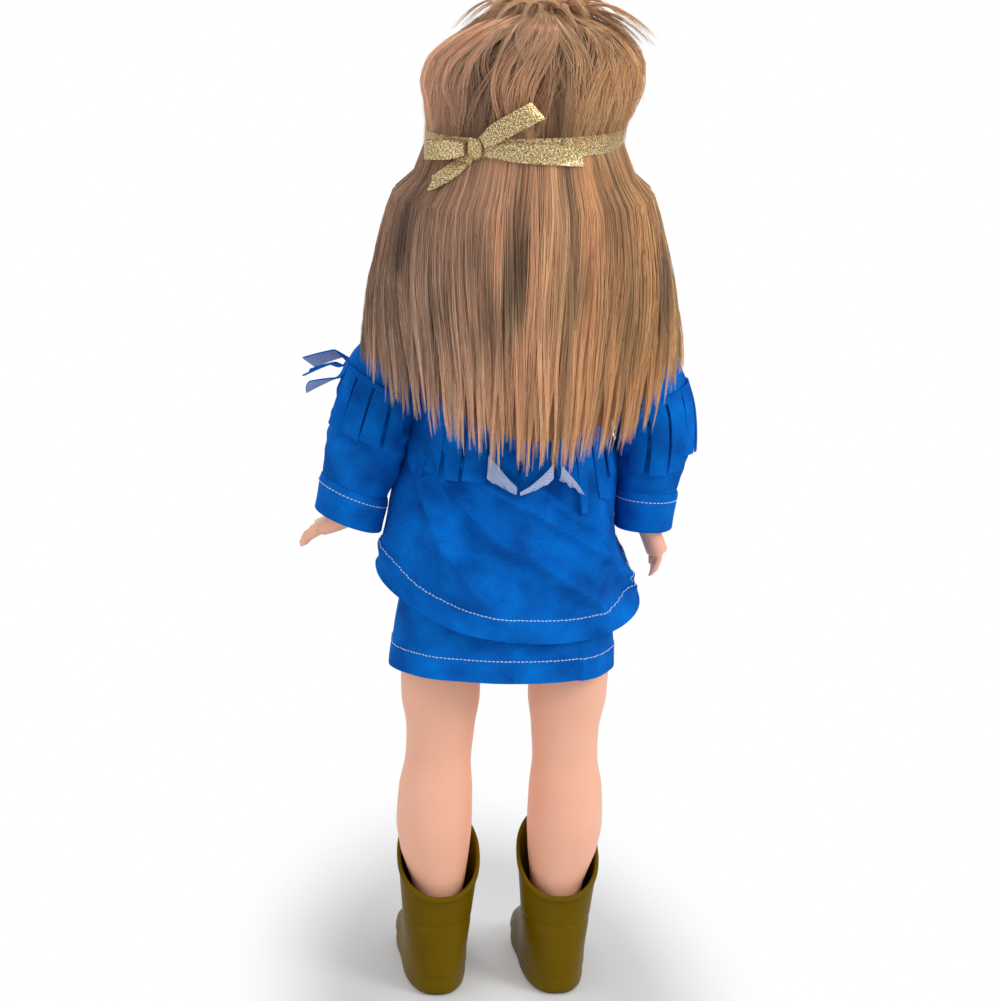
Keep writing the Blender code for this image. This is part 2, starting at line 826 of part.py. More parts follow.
def head_section(height, inset=0):
    width, front, back = between(head_shares, (height - head_bottom) / head_height)
    return (
        head_half_width * width - inset,
        head_front * front - inset,
        head_back * back - inset,
    )


def head_ring(height, sides):
    # A ring of the head, closer set in front, with the face pushed out or in.
    half_width, front, back = head_section(height)
    share = (height - head_bottom) / head_height
    points = []
    for k in range(sides):
        turn = 2 * pi * k / sides
        angle = turn - 0.5 * sin(turn) - pi / 2
        x = half_width * rounded(cos(angle), 2.2)
        y = rounded(sin(angle), 2.2) * (back if sin(angle) > 0 else front)
        if y < 0:
            for out, up, spread, rise, push in face_shares:
                away = ((x / head_half_width - out) / spread) ** 2 + ((share - up) / rise) ** 2
                y -= push * head_front * exp(-away)
        ear = exp(-(((share - 0.44) / 0.075) ** 2) - ((y / head_back - 0.04) / 0.12) ** 2)
        x += copysign(0.06 * head_half_width * ear, x)
        points.append(Vector((x, y, height)))
    return points


def eye_outline(out):
    points = []
    for k in range(20):
        angle = 2 * pi * k / 20
        rise = eye_opening_rise if sin(angle) > 0 else eye_opening_drop
        points.append((out + eye_opening_half_width * rounded(cos(angle), 2.4),
                       eye_height + rise * rounded(sin(angle), 2.4)))
    return points


def ball(name, centre, radius, finish=None, across=16, down=9):
    # A ball with its poles on the eyes' axis.
    bm = bmesh.new()
    bmesh.ops.create_uvsphere(bm, u_segments=across, v_segments=down, radius=radius)
    bmesh.ops.rotate(bm, verts=bm.verts, cent=(0, 0, 0), matrix=Matrix.Rotation(radians(90), 3, "Y"))
    bmesh.ops.translate(bm, verts=bm.verts, vec=centre)
    return add(name, bm, finish)


def build_head(vinyl):
    top = head_bottom + head_height
    heights = steps(head_bottom, head_bottom + 0.60 * head_height, 17)
    heights += steps(head_bottom + 0.68 * head_height, top, 6)
    head = loft("head", [head_ring(z, head_sides) for z in heights], vinyl)
    hollow_rings = [
        level(z, head_section(z + copysign(head_wall, z - eye_height), head_wall), limb_sides)
        for z in steps(head_inner_floor, top - 2 * head_wall, 9)
    ]
    boolean(head, loft("head_hollow", hollow_rings))
    neck_hole = [
        level(z, (neck_radius + turning_gap,) * 3, limb_sides, 2)
        for z in (head_bottom - overrun, head_inner_floor + overrun)
    ]
    boolean(head, loft("neck_hole", neck_hole))
    for side, word in ((1, "left"), (-1, "right")):
        centre = Vector((side * eye_out, -eye_depth, eye_height))
        boolean(head, ball("eye_socket_" + word, centre, socket_radius, None, 18, 10))
        rings = [
            [Vector((x, y, z)) for x, z in eye_outline(side * eye_out)]
            for y in (-eye_depth, -head_front - overrun)
        ]
        boolean(head, loft("eye_opening_" + word, rings))
    return head


def build_eye(side, word, white, vinyl, lash):
    centre = Vector((side * eye_out, -eye_depth, eye_height))
    eyeball = ball("eyeball_" + word, centre, eyeball_radius, white)

    def lid_point(across, up, radius):
        reach = radius * cos(across)
        return centre + Vector((radius * sin(across), -reach * cos(up), reach * sin(up)))

    ups = steps(radians(20), radians(104), 7)
    acrosses = steps(radians(-66), radians(66), 9)
    lid = panel(
        "eyelid_" + word,
        [[lid_point(a, u, eyelid_outer) for a in acrosses] for u in ups],
        [[lid_point(a, u, eyelid_inner) for a in acrosses] for u in ups],
        vinyl,
    )
    start = eyelid_outer + seat_gap
    widest = lash_half_width / start
    lash_rows = [start, start + 0.5 * lash_length, start + lash_length]
    lash_acrosses = steps(-widest, widest, 7)
    lashes = panel(
        "lashes_" + word,
        [[lid_point(a, radians(20), r) + up_way * lash_thickness for a in lash_acrosses] for r in lash_rows],
        [[lid_point(a, radians(20), r) for a in lash_acrosses] for r in lash_rows],
        lash,
    )
    return [eyeball, lid, lashes]


def build_rocker(steel):
    half_length = eye_out - eyeball_radius - seat_gap
    rod = sideways_rod("eye_rocker", -half_length, half_length, eye_height, rocker_radius, -eye_depth, steel, 12)
    stem_rings = [
        level(z, (rocker_radius,) * 3, 12, 2, -eye_depth)
        for z in (eye_height, eye_height - rocker_stem_length)
    ]
    boolean(rod, loft("eye_rocker_stem", stem_rings), "UNION")
    top = eye_height - rocker_stem_length - seat_gap
    profile = ((0.00, 0.70), (0.15, 1.00), (0.85, 1.00), (1.00, 0.70))
    weight = loft(
        "eye_weight",
        [
            level(top - 2 * weight_radius * share, (weight_half_width * size, weight_radius * size,
                  weight_radius * size), 16, 3, -eye_depth)
            for share, size in profile
        ],
        steel,
    )
    return [rod, weight]


# Hair


def crown_edge(height_share):
    # Middle height of a tilted ring of the crown's hair.
    lower = tie_height - 0.8 * ribbon_width
    return lower + (hair_top - lower) * height_share


def crown_sizes(share, inset=0):
    width, front, back = between(crown_shares, share)
    return (
        (head_half_width + crown_side) * width - inset,
        (head_front + crown_brow) * front - inset,
        (head_back + crown_rear) * back - inset,
    )


def build_crown(hair):
    outside = []
    for share in (0.0, 0.09, 0.18, 0.27, 0.40, 0.54, 0.68, 0.80, 0.90, 0.96, 1.0):
        slope = hair_tie_slope * (1 - share)
        row = level(crown_edge(share), crown_sizes(share), hair_sides, 2.2, 0, 0, slope)
        locks = 0.018 * min(1, max(0, share - 0.24) * 4)
        for k, point in enumerate(row):
            wave = 1 + locks * (sin(k * 2.4) + 0.6 * sin(k * 1.3 + 9 * share))
            point.x *= wave
            point.y *= wave
        outside.append(row)
    inside = []
    top = head_bottom + head_height
    start = crown_edge(0)
    for share in (1.0, 0.96, 0.87, 0.73, 0.55, 0.35, 0.15, 0.0):
        height = start + (top + crown_wall_ease - start) * share
        slope = hair_tie_slope * (1 - share)
        row = level(height, (1, 1, 1), hair_sides, 2.2, 0, 0, 0)
        fitted = []
        for k in range(hair_sides):
            angle = 2 * pi * k / hair_sides
            z = height - slope * head_back * sin(angle)
            half_width, front, back = head_section(z, -crown_wall_ease - 0.03 * head_half_width * (share < 0.3))
            fitted.append(Vector((half_width * rounded(cos(angle), 2.2),
                                  rounded(sin(angle), 2.2) * (back if sin(angle) > 0 else front), z)))
        inside.append(fitted)
    return loft("hair_crown", inside + outside, hair)


def curtain_point(across, share, inward=0.0):
    # A point of the long hair: across it from -1 to 1, down its fall, and inwards by a share of its thickness.
    width, depth, middle, wrap, thick = between(curtain_shares, share)
    thin_end = 1 - 0.45 * abs(across) ** 3
    inset = inward * curtain_thickness * thick * thin_end
    angle = across * wrap * radians(116)
    x = (curtain_half_width * width - inset) * rounded(sin(angle), 2.15)
    y = middle * curtain_depth + (curtain_depth * depth - inset) * rounded(cos(angle), 2.15)
    top = tie_height - 0.8 * ribbon_width - seat_gap
    return Vector((x, y, top - share * curtain_length - hair_tie_slope * y * (1 - share) ** 2))


def build_curtain(hair):
    columns = steps(-1, 1, 29)
    rows = (0.0, 0.04, 0.09, 0.17, 0.32, 0.50, 0.68, 0.85, 1.0)
    outer, inner = [], []
    for row in rows:
        outer.append([])
        inner.append([])
        for k, across in enumerate(columns):
            (edge,) = between(curtain_edge_shares, across)
            lock = (0, 0.6, 1, 0.6)[k % 4] * curtain_lock_drop / curtain_length * row
            share = row * (edge - lock)
            ripple = 0.10 * min(1, 3 * row) * (1, -0.6, 0.4, -0.8)[k % 4]
            outer[-1].append(curtain_point(across, share, ripple))
            inner[-1].append(curtain_point(across, share, 1.0))
    return panel("hair_back", outer, inner, hair)


def build_bangs(hair):
    acrosses = steps(-1, 1, 13)
    shares = steps(0, 1, 3)

    base = tie_height - 0.8 * ribbon_width - seat_gap

    def front_at(x, height, out):
        half_width, front, _ = head_section(height, -crown_wall_ease - out)
        return -front * (1 - (abs(x) / half_width) ** 2.2) ** (1 / 2.2)

    def point(across, share, out):
        x = across * bangs_half_width
        top = base - 1.15 * hair_tie_slope * front_at(x, base, 0)
        height = top - share * bangs_length * (1 - 0.18 * abs(sin(across * 9)))
        return Vector((x, front_at(x, height, out), height))

    far = bangs_thickness
    return panel(
        "hair_bangs",
        [[point(a, s, far * (1 - 0.5 * s)) for a in acrosses] for s in shares],
        [[point(a, s, 0) for a in acrosses] for s in shares],
        hair,
    )


# Ribbon


def hair_sizes(up):
    # Half width, front and back of the hair at a height above the middle of the ribbon.
    over_edge = up + 0.8 * ribbon_width
    if over_edge > 0:
        return crown_sizes(max(0.10, over_edge / (hair_top - crown_edge(0))))
    width, depth, middle, _, _ = between(curtain_shares, -over_edge / curtain_length)
    reach = curtain_depth * (depth + middle)
    return curtain_half_width * width, reach, reach


def ribbon_point(angle, up, out):
    # A point on the tied ribbon: round the head from the doll's left, up its width, and outwards.
    half_width, front, back = (size + out for size in hair_sizes(up))
    x = half_width * rounded(cos(angle), 2.2)
    y = rounded(sin(angle), 2.2) * (back if sin(angle) > 0 else front)
    return Vector((x, y, tie_height + up - hair_tie_slope * y))


def build_ribbon(gold):
    half = ribbon_width / 2
    corners = (
        (-half, ribbon_ease + ribbon_thickness),
        (half, ribbon_ease + ribbon_thickness),
        (half, ribbon_ease),
        (-half, ribbon_ease),
    )
    rings = [
        [ribbon_point(2 * pi * k / hair_sides, up, out) for k in range(hair_sides)] for up, out in corners
    ]
    band = loft("ribbon_band", rings, gold, True)

    knot_rings = [
        [on_ribbon(bow_out - knot_radius * along, 1.35 * knot_radius * size * sin(2 * pi * k / 12),
                   seat_gap + 0.75 * knot_radius * (1 + size * cos(2 * pi * k / 12))) for k in range(12)]
        for along, size in ((-1.0, 0.55), (-0.8, 0.92), (0.0, 1.0), (0.8, 0.92), (1.0, 0.55))
    ]
    return [
        band,
        loft("bow_knot", knot_rings, gold),
        bow_loop("bow_loop_left", radians(184), gold),
        bow_loop("bow_loop_right", radians(32), gold),
        bow_tail("bow_tail_short", radians(220), short_tail_length, 0.7, gold),
        bow_tail("bow_tail_long", radians(-5), long_tail_length, 0.0, gold),
    ]


def on_ribbon(place, up, out):
    # A point by its way round the head from the middle of the back to the doll's left,
    # its height above the middle of the ribbon and its distance out from the ribbon's face.
    angle = radians(90) - place / (head_back + crown_rear)
    return ribbon_point(angle, up, ribbon_ease + ribbon_thickness + out)


def beside_knot(tip):
    # How far from the knot's middle a ribbon that leaves it at this slant begins.
    return knot_radius * (1.05 + 0.40 * abs(sin(tip))) + seat_gap


def bow_strip(name, line, tip, gold):
    # A flat ribbon along a line of distances from the knot, heights out and width shares.
    outer, inner = [], []

    def place(reach, sideways, out):
        along = reach * cos(tip) - sideways * sin(tip)
        return on_ribbon(bow_out - along, reach * sin(tip) + sideways * cos(tip), out)

    last = len(line) - 1
    for k, (reach, out, width) in enumerate(line):
        before, after = line[max(0, k - 1)], line[min(last, k + 1)]
        run, rise = after[0] - before[0], after[1] - before[1]
        size = (run**2 + rise**2) ** 0.5
        half, shift = width * ribbon_width / 2, ribbon_thickness / 2
        reach_shift, out_shift = -shift * rise / size, shift * run / size
        outer.append([place(reach + reach_shift, half * s, out + out_shift) for s in (-1, 0, 1)])
        inner.append([place(reach - reach_shift, half * s, out - out_shift) for s in (-1, 0, 1)])
    return panel(name, outer, inner, gold)


def bow_loop(name, tip, gold):
    # A loop of ribbon that leaves the knot sideways and comes back to it.
    line = []
    for angle in steps(radians(-160), radians(160), 14):
        away = (1 + cos(angle)) / 2
        lift = loop_height * (0.56 + 0.5 * sin(angle) * (0.35 + 0.65 * min(1, away + 0.15)))
        line.append((beside_knot(tip) + loop_length * away, lift, 0.62 + 0.38 * min(1, 3 * away)))
    return bow_strip(name, line, tip, gold)


def bow_tail(name, tip, length, rise_share, gold):
    # A tail that leaves the knot close to the band and lies over the hair.
    line = []
    for share in steps(0, 1, 9):
        out = layer_gap + knot_radius * (0.20 * (1 - share) + rise_share * share**3)
        line.append((beside_knot(tip) + length * share, out, 0.62 + 0.38 * min(1, 3 * share)))
    return bow_strip(name, line, tip, gold)


# Clothes


def build_briefs(cotton):
    heights = torso_heights()[:brief_rows]
    close, far = turning_gap, turning_gap + brief_thickness

    def rings(out, rise):
        rows = [level(z, torso_section(z, -out), body_sides, 2.4) for z in heights]
        bottom = level(pelvis_bottom - out, torso_section(pelvis_bottom, -0.5 * out), body_sides, 2.4)
        top = level(heights[-1] + rise, torso_section(heights[-1], -out), body_sides, 2.4)
        return [bottom, *rows[:-1], top]

    briefs = loft("briefs", rings(far, 0), cotton)
    boolean(briefs, loft("briefs_hollow", rings(close, overrun)))
    for tool in hip_cutters("brief_leg", pelvis_block_half_width, hip_radius + 2 * turning_gap):
        boolean(briefs, tool)
    return briefs


def skirt_sizes(height, inset=0):
    top = waistband_bottom + waistband_width
    hem_sizes = (torso_half_width + skirt_ease, torso_front + 0.3 * skirt_ease, torso_back + 0.65 * skirt_ease)
    waist_sizes = torso_section(top, -waistband_thickness - waist_ease)
    gone = between(skirt_shares, (height - skirt_hem_height) / (top - skirt_hem_height))
    return tuple(
        low + (high - low) * share - inset for low, high, share in zip(hem_sizes, waist_sizes, gone)
    )


def build_skirt(denim):
    heights = steps(skirt_hem_height, skirt_top_height, 6)
    fold_share = 0.012

    def row(z, inset):
        points = level(z, skirt_sizes(z, inset), skirt_sides, 2.5)
        share = 1 - (z - skirt_hem_height) / (skirt_top_height - skirt_hem_height)
        for k, point in enumerate(points):
            wave = 1 + fold_share * share * (sin(k * 0.95) + 0.6 * sin(k * 1.7 + 1))
            point.x *= wave
            point.y *= wave
        return points

    outside = [row(z, 0) for z in heights]
    inside = [row(z, cloth_thickness) for z in reversed(heights)]
    skirt = loft("skirt", outside + inside, denim, True)
    low, high = waistband_bottom, waistband_bottom + waistband_width
    corners = ((low, 0), (high, 0), (high, waistband_thickness), (low, waistband_thickness))
    rings = [level(z, skirt_sizes(z, inset), skirt_sides, 2.4) for z, inset in corners]
    return [skirt, loft("skirt_waistband", rings, denim, True)]


def jacket_hem(across):
    (drop,) = between(jacket_hem_shares, across)
    return jacket_front_hem_height + (jacket_hem_height - jacket_front_hem_height) * drop


def jacket_point(across, share, out=0.0):
    # A point of the jacket: from -1 at the front opening round the doll's right, back and left to 1,
    # and from 0 at the neck to 1 at the hem.
    hem = jacket_hem(across)
    height = neck_base + (hem - neck_base) * share
    return jacket_at(across, height, out)


def jacket_at(across, height, out=0.0):
    up = (height - jacket_hem_height) / (neck_base + 0.1 * neck_length - jacket_hem_height)
    width, front, back = between(jacket_shares, up)
    angle = radians(90) - across * radians(180)
    above_hem = (height - jacket_hem(across)) / (jacket_front_hem_height - jacket_hem_height)
    near_hem = max(0, 1 - above_hem / 0.9) ** 2
    sideways = abs(cos(angle)) ** 3
    flare = jacket_flare * near_hem * sideways * (1 if across < 0 else 0.95)
    folds = 1 + 0.012 * (1 - min(1, up * 1.3)) * (sin(across * 17) + 0.5 * sin(across * 29 + 2))
    half_width = ((torso_half_width + jacket_ease) * width + flare) * folds + out
    reach = ((torso_back + jacket_ease) * back if sin(angle) > 0 else
             (torso_front + 0.8 * jacket_ease) * front) * folds + out
    x = half_width * rounded(cos(angle), 2.4)
    y = reach * rounded(sin(angle), 2.4)
    return Vector((x, y, height))


def jacket_panel(name, start, end, columns, finish):
    acrosses = steps(start, end, columns)
    shares = (0.0, 0.04, 0.09, 0.17, 0.28, 0.42, 0.58, 0.76, 0.89, 1.0)
    made = panel(
        name,
        [[jacket_point(a, s) for a in acrosses] for s in shares],
        [[jacket_point(a, s, -cloth_thickness) for a in acrosses] for s in shares],
        finish,
    )
    for side, word in ((1, "left"), (-1, "right")):
        if start * side >= 0 or end * side > 0:
            reach = torso_half_width + 2 * jacket_ease
            boolean(made, sideways_rod(
                "armhole_" + name + "_" + word, side * 0.6 * torso_half_width, side * reach,
                shoulder_height, armhole_radius, sides=body_sides,
            ))
    return made


def build_jacket(denim):
    seam = seat_gap / (2 * torso_half_width)
    opening = placket_gap / (2 * torso_front)
    side_share = 0.56
    return [
        jacket_panel("jacket_back", -side_share + seam, side_share - seam, 23, denim),
        jacket_panel("jacket_front_right", -1 + opening / pi, -side_share - seam, 10, denim),
        jacket_panel("jacket_front_left", side_share + seam, 1 - opening / pi, 10, denim),
    ]


def build_collar(denim):
    acrosses = steps(-0.93, 0.93, 19)
    stand = neck_base + seat_gap
    # Way out and up of the cloth's underside, and which way its upper side faces, inwards and up.
    rows = (
        (0.00, 0.00, 1.0, 0.0),
        (0.06, 0.90, 0.8, 0.6),
        (0.22, 1.00, 0.0, 1.0),
        (0.60, 0.55, -0.3, 1.0),
        (1.00, -0.12, -0.3, 1.0),
    )

    def point(across, row, thickness):
        out, up, inwards, upwards = row
        angle = radians(90) - across * radians(180)
        radius = collar_radius + out * collar_fold - inwards * thickness
        height = stand + up * collar_rise + upwards * thickness
        return Vector((radius * cos(angle), 0.96 * radius * sin(angle), height))

    upper = [[point(a, row, cloth_thickness) for a in acrosses] for row in rows]
    under = [[point(a, row, 0) for a in acrosses] for row in rows]
    return panel("jacket_collar", upper, under, denim)


def sleeve_point(sleeve_shares, side, along, angle, out=0.0):
    way_out, ahead, down, turn, radius = between(sleeve_shares, along)
    turned = turn * radians(90)
    across = Vector((side * sin(turned), 0, cos(turned)))
    centre = Vector((
        side * (shoulder_start + way_out * arm_length), -ahead * arm_length,
        shoulder_height - down * arm_length,
    ))
    size = sleeve_radius * radius + out
    return centre + across * size * cos(angle) + back_way * size * sin(angle)


def build_sleeve(name, side, sleeve_shares, denim):
    alongs = (0.0, 0.04, 0.14, 0.26, 0.40, 0.52, 0.64, 0.76, 0.88, 0.905, 1.0)

    def row(along, out):
        angles = [2 * pi * k / limb_sides for k in range(limb_sides)]
        return [sleeve_point(sleeve_shares, side, along, angle, out) for angle in angles]

    folded = cuff_thickness - cloth_thickness
    outside = [row(a, folded if a > 0.9 else 0) for a in alongs]
    inside = [row(a, -cloth_thickness) for a in reversed(alongs)]
    return loft(name, outside + inside, denim, True)


def fringe(name, point, start, end, count, finish, lift_share=1.0):
    # Strips side by side that hang from one sewn band. The point function takes across, down and out.
    strip = (end - start) / count
    shy = strip * fringe_slit / (2 * fringe_strip_width)
    edges = []
    for k in range(count):
        edges += [start + strip * k + shy, start + strip * (k + 1) - shy]
    rows = (0.0, fringe_band / fringe_length, 0.35, 0.68, 1.0)
    outer, inner = [], []
    for r, down in enumerate(rows):
        outer.append([])
        inner.append([])
        for c, across in enumerate(edges):
            strip_number = c // 2
            lift = lift_share * down**1.5 * fringe_lift * (0.55 + 0.45 * sin(strip_number * 2.3))
            swing = 0 if r < 2 else 0.10 * strip * sin(strip_number * 1.9) * down
            reach = down * (1 + 0.06 * sin(strip_number * 3.1))
            near = layer_gap + lift
            outer[-1].append(point(across + swing, reach, near + fringe_thickness))
            inner[-1].append(point(across + swing, reach, near))
    return panel(name, outer, inner, finish, lambda r, c: r == 0 or c % 2 == 0)


def build_fringes(denim):
    def on_jacket(across, down, out):
        return jacket_at(across, fringe_seam_height - down * fringe_length, out)

    pieces = [
        fringe("fringe_back", on_jacket, -0.41, 0.41, 10, denim),
        fringe("fringe_front_right", on_jacket, -0.93, -0.66, 4, denim),
        fringe("fringe_front_left", on_jacket, 0.66, 0.93, 4, denim),
    ]
    for side, word, sleeve_shares in ((1, "left", left_sleeve_shares), (-1, "right", right_sleeve_shares)):
        seam, reach = 0.40, fringe_length / arm_length

        def on_sleeve(across, down, out):
            return sleeve_point(sleeve_shares, side, seam + down * reach, across, out)

        pieces.append(
            fringe("fringe_sleeve_" + word, on_sleeve, radians(-92), radians(132), 8, denim, 0.35)
        )
    return pieces


def build_snaps(steel):
    snaps = []
    for word, height in (("top", 0.86), ("middle", 0.60), ("bottom", 0.34)):
        z = jacket_front_hem_height + (neck_base - jacket_front_hem_height) * height * 0.9
        across = 1 - 1.6 * snap_radius / (pi * torso_front)
        place = jacket_at(across, z, 0)
        near = jacket_at(across, z + snap_radius, 0)
        low = jacket_at(across, z - snap_radius, 0)
        front = min(place.y, near.y, low.y) - seat_gap
        rings = [
            [Vector((place.x + snap_radius * size * cos(2 * pi * k / 16), front - snap_thickness * out,
                     z + snap_radius * size * sin(2 * pi * k / 16))) for k in range(16)]
            for out, size in ((0.0, 1.0), (0.35, 1.0), (0.75, 0.8), (1.0, 0.35))
        ]
        snaps.append(loft("snap_" + word, rings, steel))
    return snaps


def main():
    for obj in list(bpy.data.objects):
        bpy.data.objects.remove(obj, do_unlink=True)

    vinyl = material("vinyl", (0.86, 0.52, 0.36), 0.42)
    denim = material("denim", (0.01, 0.12, 0.50), 0.85)
    hair = material("hair", (0.45, 0.27, 0.16), 0.55)
    pvc = material("boot_pvc", (0.14, 0.09, 0.004), 0.35)
    gold = material("gold_ribbon", (0.62, 0.48, 0.26), 0.4, 0.6)
    white = material("eye_white", (0.85, 0.85, 0.83), 0.15)
    lash = material("lash", (0.05, 0.03, 0.02), 0.7)
    steel = material("steel", (0.55, 0.55, 0.56), 0.35, 1.0)
    cotton = material("cotton", (0.85, 0.85, 0.85), 0.9)

    torso = build_torso(vinyl)
    neck = axis_empty("neck_axis", Vector((0, 0, head_bottom)))
    eyes = axis_empty("eye_axis", Vector((0, -eye_depth, eye_height)))
    hang([build_head(vinyl), build_crown(hair), build_curtain(hair), build_bangs(hair)], neck)
    hang(build_ribbon(gold), neck)
    eye_pieces = build_rocker(steel)
    for side, word in ((1, "left"), (-1, "right")):
        eye_pieces += build_eye(side, word, white, vinyl, lash)
    hang(eye_pieces, eyes)

    build_briefs(cotton)
    build_skirt(denim)
    build_jacket(denim)
    build_collar(denim)
    build_snaps(steel)
    fringes = {piece.name: piece for piece in build_fringes(denim)}
    for side, word, arm_shares, sleeve_shares in (
        (1, "left", left_arm_shares, left_sleeve_shares),
        (-1, "right", right_arm_shares, right_sleeve_shares),
    ):
        shoulder = axis_empty("shoulder_axis_" + word, Vector((side * shoulder_start, 0, shoulder_height)))
        sleeve = build_sleeve("sleeve_" + word, side, sleeve_shares, denim)
        arm = build_arm("arm_" + word, side, arm_shares, vinyl)
        hang([arm, sleeve, fringes["fringe_sleeve_" + word]], shoulder)
        hip = axis_empty("hip_axis_" + word, Vector((side * hip_seat_out, 0, hip_height)))
        hang([build_leg("leg_" + word, side, vinyl), build_boot("boot_" + word, side, pvc)], hip)
    hang([torso], axis_empty("stand", Vector()))


main()
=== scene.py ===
import random
from math import atan2, copysign, cos, exp, pi, radians, sin

import bmesh
import bpy
from mathutils import Matrix, Vector, noise


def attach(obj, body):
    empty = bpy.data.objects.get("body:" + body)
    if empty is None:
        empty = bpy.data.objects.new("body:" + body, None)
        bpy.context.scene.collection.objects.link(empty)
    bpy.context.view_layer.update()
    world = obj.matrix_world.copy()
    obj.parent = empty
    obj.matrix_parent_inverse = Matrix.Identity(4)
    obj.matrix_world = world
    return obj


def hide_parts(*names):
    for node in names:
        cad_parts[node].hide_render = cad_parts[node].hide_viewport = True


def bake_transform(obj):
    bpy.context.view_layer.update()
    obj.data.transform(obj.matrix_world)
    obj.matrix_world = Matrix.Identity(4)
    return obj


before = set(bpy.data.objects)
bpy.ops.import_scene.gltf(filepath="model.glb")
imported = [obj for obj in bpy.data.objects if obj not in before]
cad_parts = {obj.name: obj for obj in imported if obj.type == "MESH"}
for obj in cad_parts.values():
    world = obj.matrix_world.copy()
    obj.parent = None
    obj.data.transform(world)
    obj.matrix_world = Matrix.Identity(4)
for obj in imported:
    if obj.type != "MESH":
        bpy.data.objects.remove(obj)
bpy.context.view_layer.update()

# A vinyl play doll, seen from behind: long rooted hair with a ribbon, fringed denim jacket and skirt, boots.
# Metres. The doll faces -Y, its left is +X. Lengths count from the middle between its legs.
base = Vector((-0.0088, -0.0015, 0))
rightWay, backWay, upWay = Vector((1, 0, 0)), Vector((0, 1, 0)), Vector((0, 0, 1))


# Tables and points

def between(rows, at):
    # the row of a table at a place between its rows, on a smooth curve that doesn't overshoot
    if at <= rows[0][0]:
        return rows[0][1:]
    if at >= rows[-1][0]:
        return rows[-1][1:]
    last = len(rows) - 1
    i = max(k for k in range(last) if rows[k][0] <= at)

    def slope(k, column):
        if k in (0, last):
            near = min(k, last - 1)
            return (rows[near + 1][column] - rows[near][column]) / (rows[near + 1][0] - rows[near][0])
        before = (rows[k][column] - rows[k - 1][column]) / (rows[k][0] - rows[k - 1][0])
        after = (rows[k + 1][column] - rows[k][column]) / (rows[k + 1][0] - rows[k][0])
        return 0 if before * after <= 0 else 2 * before * after / (before + after)

    span = rows[i + 1][0] - rows[i][0]
    t = (at - rows[i][0]) / span
    return tuple(
        (2 * t**3 - 3 * t**2 + 1) * rows[i][column]
        + (t**3 - 2 * t**2 + t) * span * slope(i, column)
        + (3 * t**2 - 2 * t**3) * rows[i + 1][column]
        + (t**3 - t**2) * span * slope(i + 1, column)
        for column in range(1, len(rows[0]))
    )


def steps(start, end, count):
    return [start + (end - start) * k / (count - 1) for k in range(count)]


def smooth(start, end, at):
    # eases from 0 at start to 1 at end
    t = min(1, max(0, (at - start) / (end - start)))
    return t * t * (3 - 2 * t)


def rounded(value, power):
    return copysign(abs(value) ** (2 / power), value)


def bumpy(x, y, z=0.0):
    return noise.noise(Vector((x, y, z)))


def ringPoints(centre, across, along, halfWidth, front, back, sides, power=2.2):
    points = []
    for k in range(sides):
        angle = 2 * pi * k / sides
        out = rounded(cos(angle), power) * halfWidth
        reach = rounded(sin(angle), power) * (back if sin(angle) > 0 else front)
        points.append(centre + across * out + along * reach)
    return points


def levelRing(height, sizes, sides, power=2.2, middle=0, out=0, slope=0, side=1):
    points = ringPoints(Vector((side * out, middle, height)), side * rightWay, backWay, *sizes, sides, power)
    for point in points:
        point.z -= slope * point.y
    return points


def tiltedRing(side, out, back, height, turn, thick, broad, sides, power=2.0):
    across = Vector((side * sin(turn), 0, cos(turn)))
    return ringPoints(Vector((side * out, back, height)), across, backWay, thick, broad, broad, sides, power)


# Meshes

def link(name, mesh):
    obj = bpy.data.objects.new(name, mesh)
    bpy.context.scene.collection.objects.link(obj)
    return obj


def finishMesh(name, bm, outwards=True):
    bmesh.ops.translate(bm, verts=bm.verts, vec=base)
    if outwards:
        bmesh.ops.recalc_face_normals(bm, faces=bm.faces)
        if bm.calc_volume(signed=True) < 0:
            bmesh.ops.reverse_faces(bm, faces=bm.faces)
    mesh = bpy.data.meshes.new(name)
    bm.to_mesh(mesh)
    bm.free()
    mesh.shade_smooth()
    return link(name, mesh)


def loft(name, rings):
    # a skin through rings of as many points, closed by a fan over each end
    bm = bmesh.new()
    rows = [[bm.verts.new(point) for point in points] for points in rings]
    for lower, upper in zip(rows, rows[1:]):
        for k in range(len(lower)):
            n = (k + 1) % len(lower)
            bm.faces.new((lower[k], lower[n], upper[n], upper[k]))
    for row in (rows[0], rows[-1]):
        middle = bm.verts.new(sum((v.co for v in row), Vector()) / len(row))
        for k in range(len(row)):
            bm.faces.new((row[k], row[(k + 1) % len(row)], middle))
    return finishMesh(name, bm)


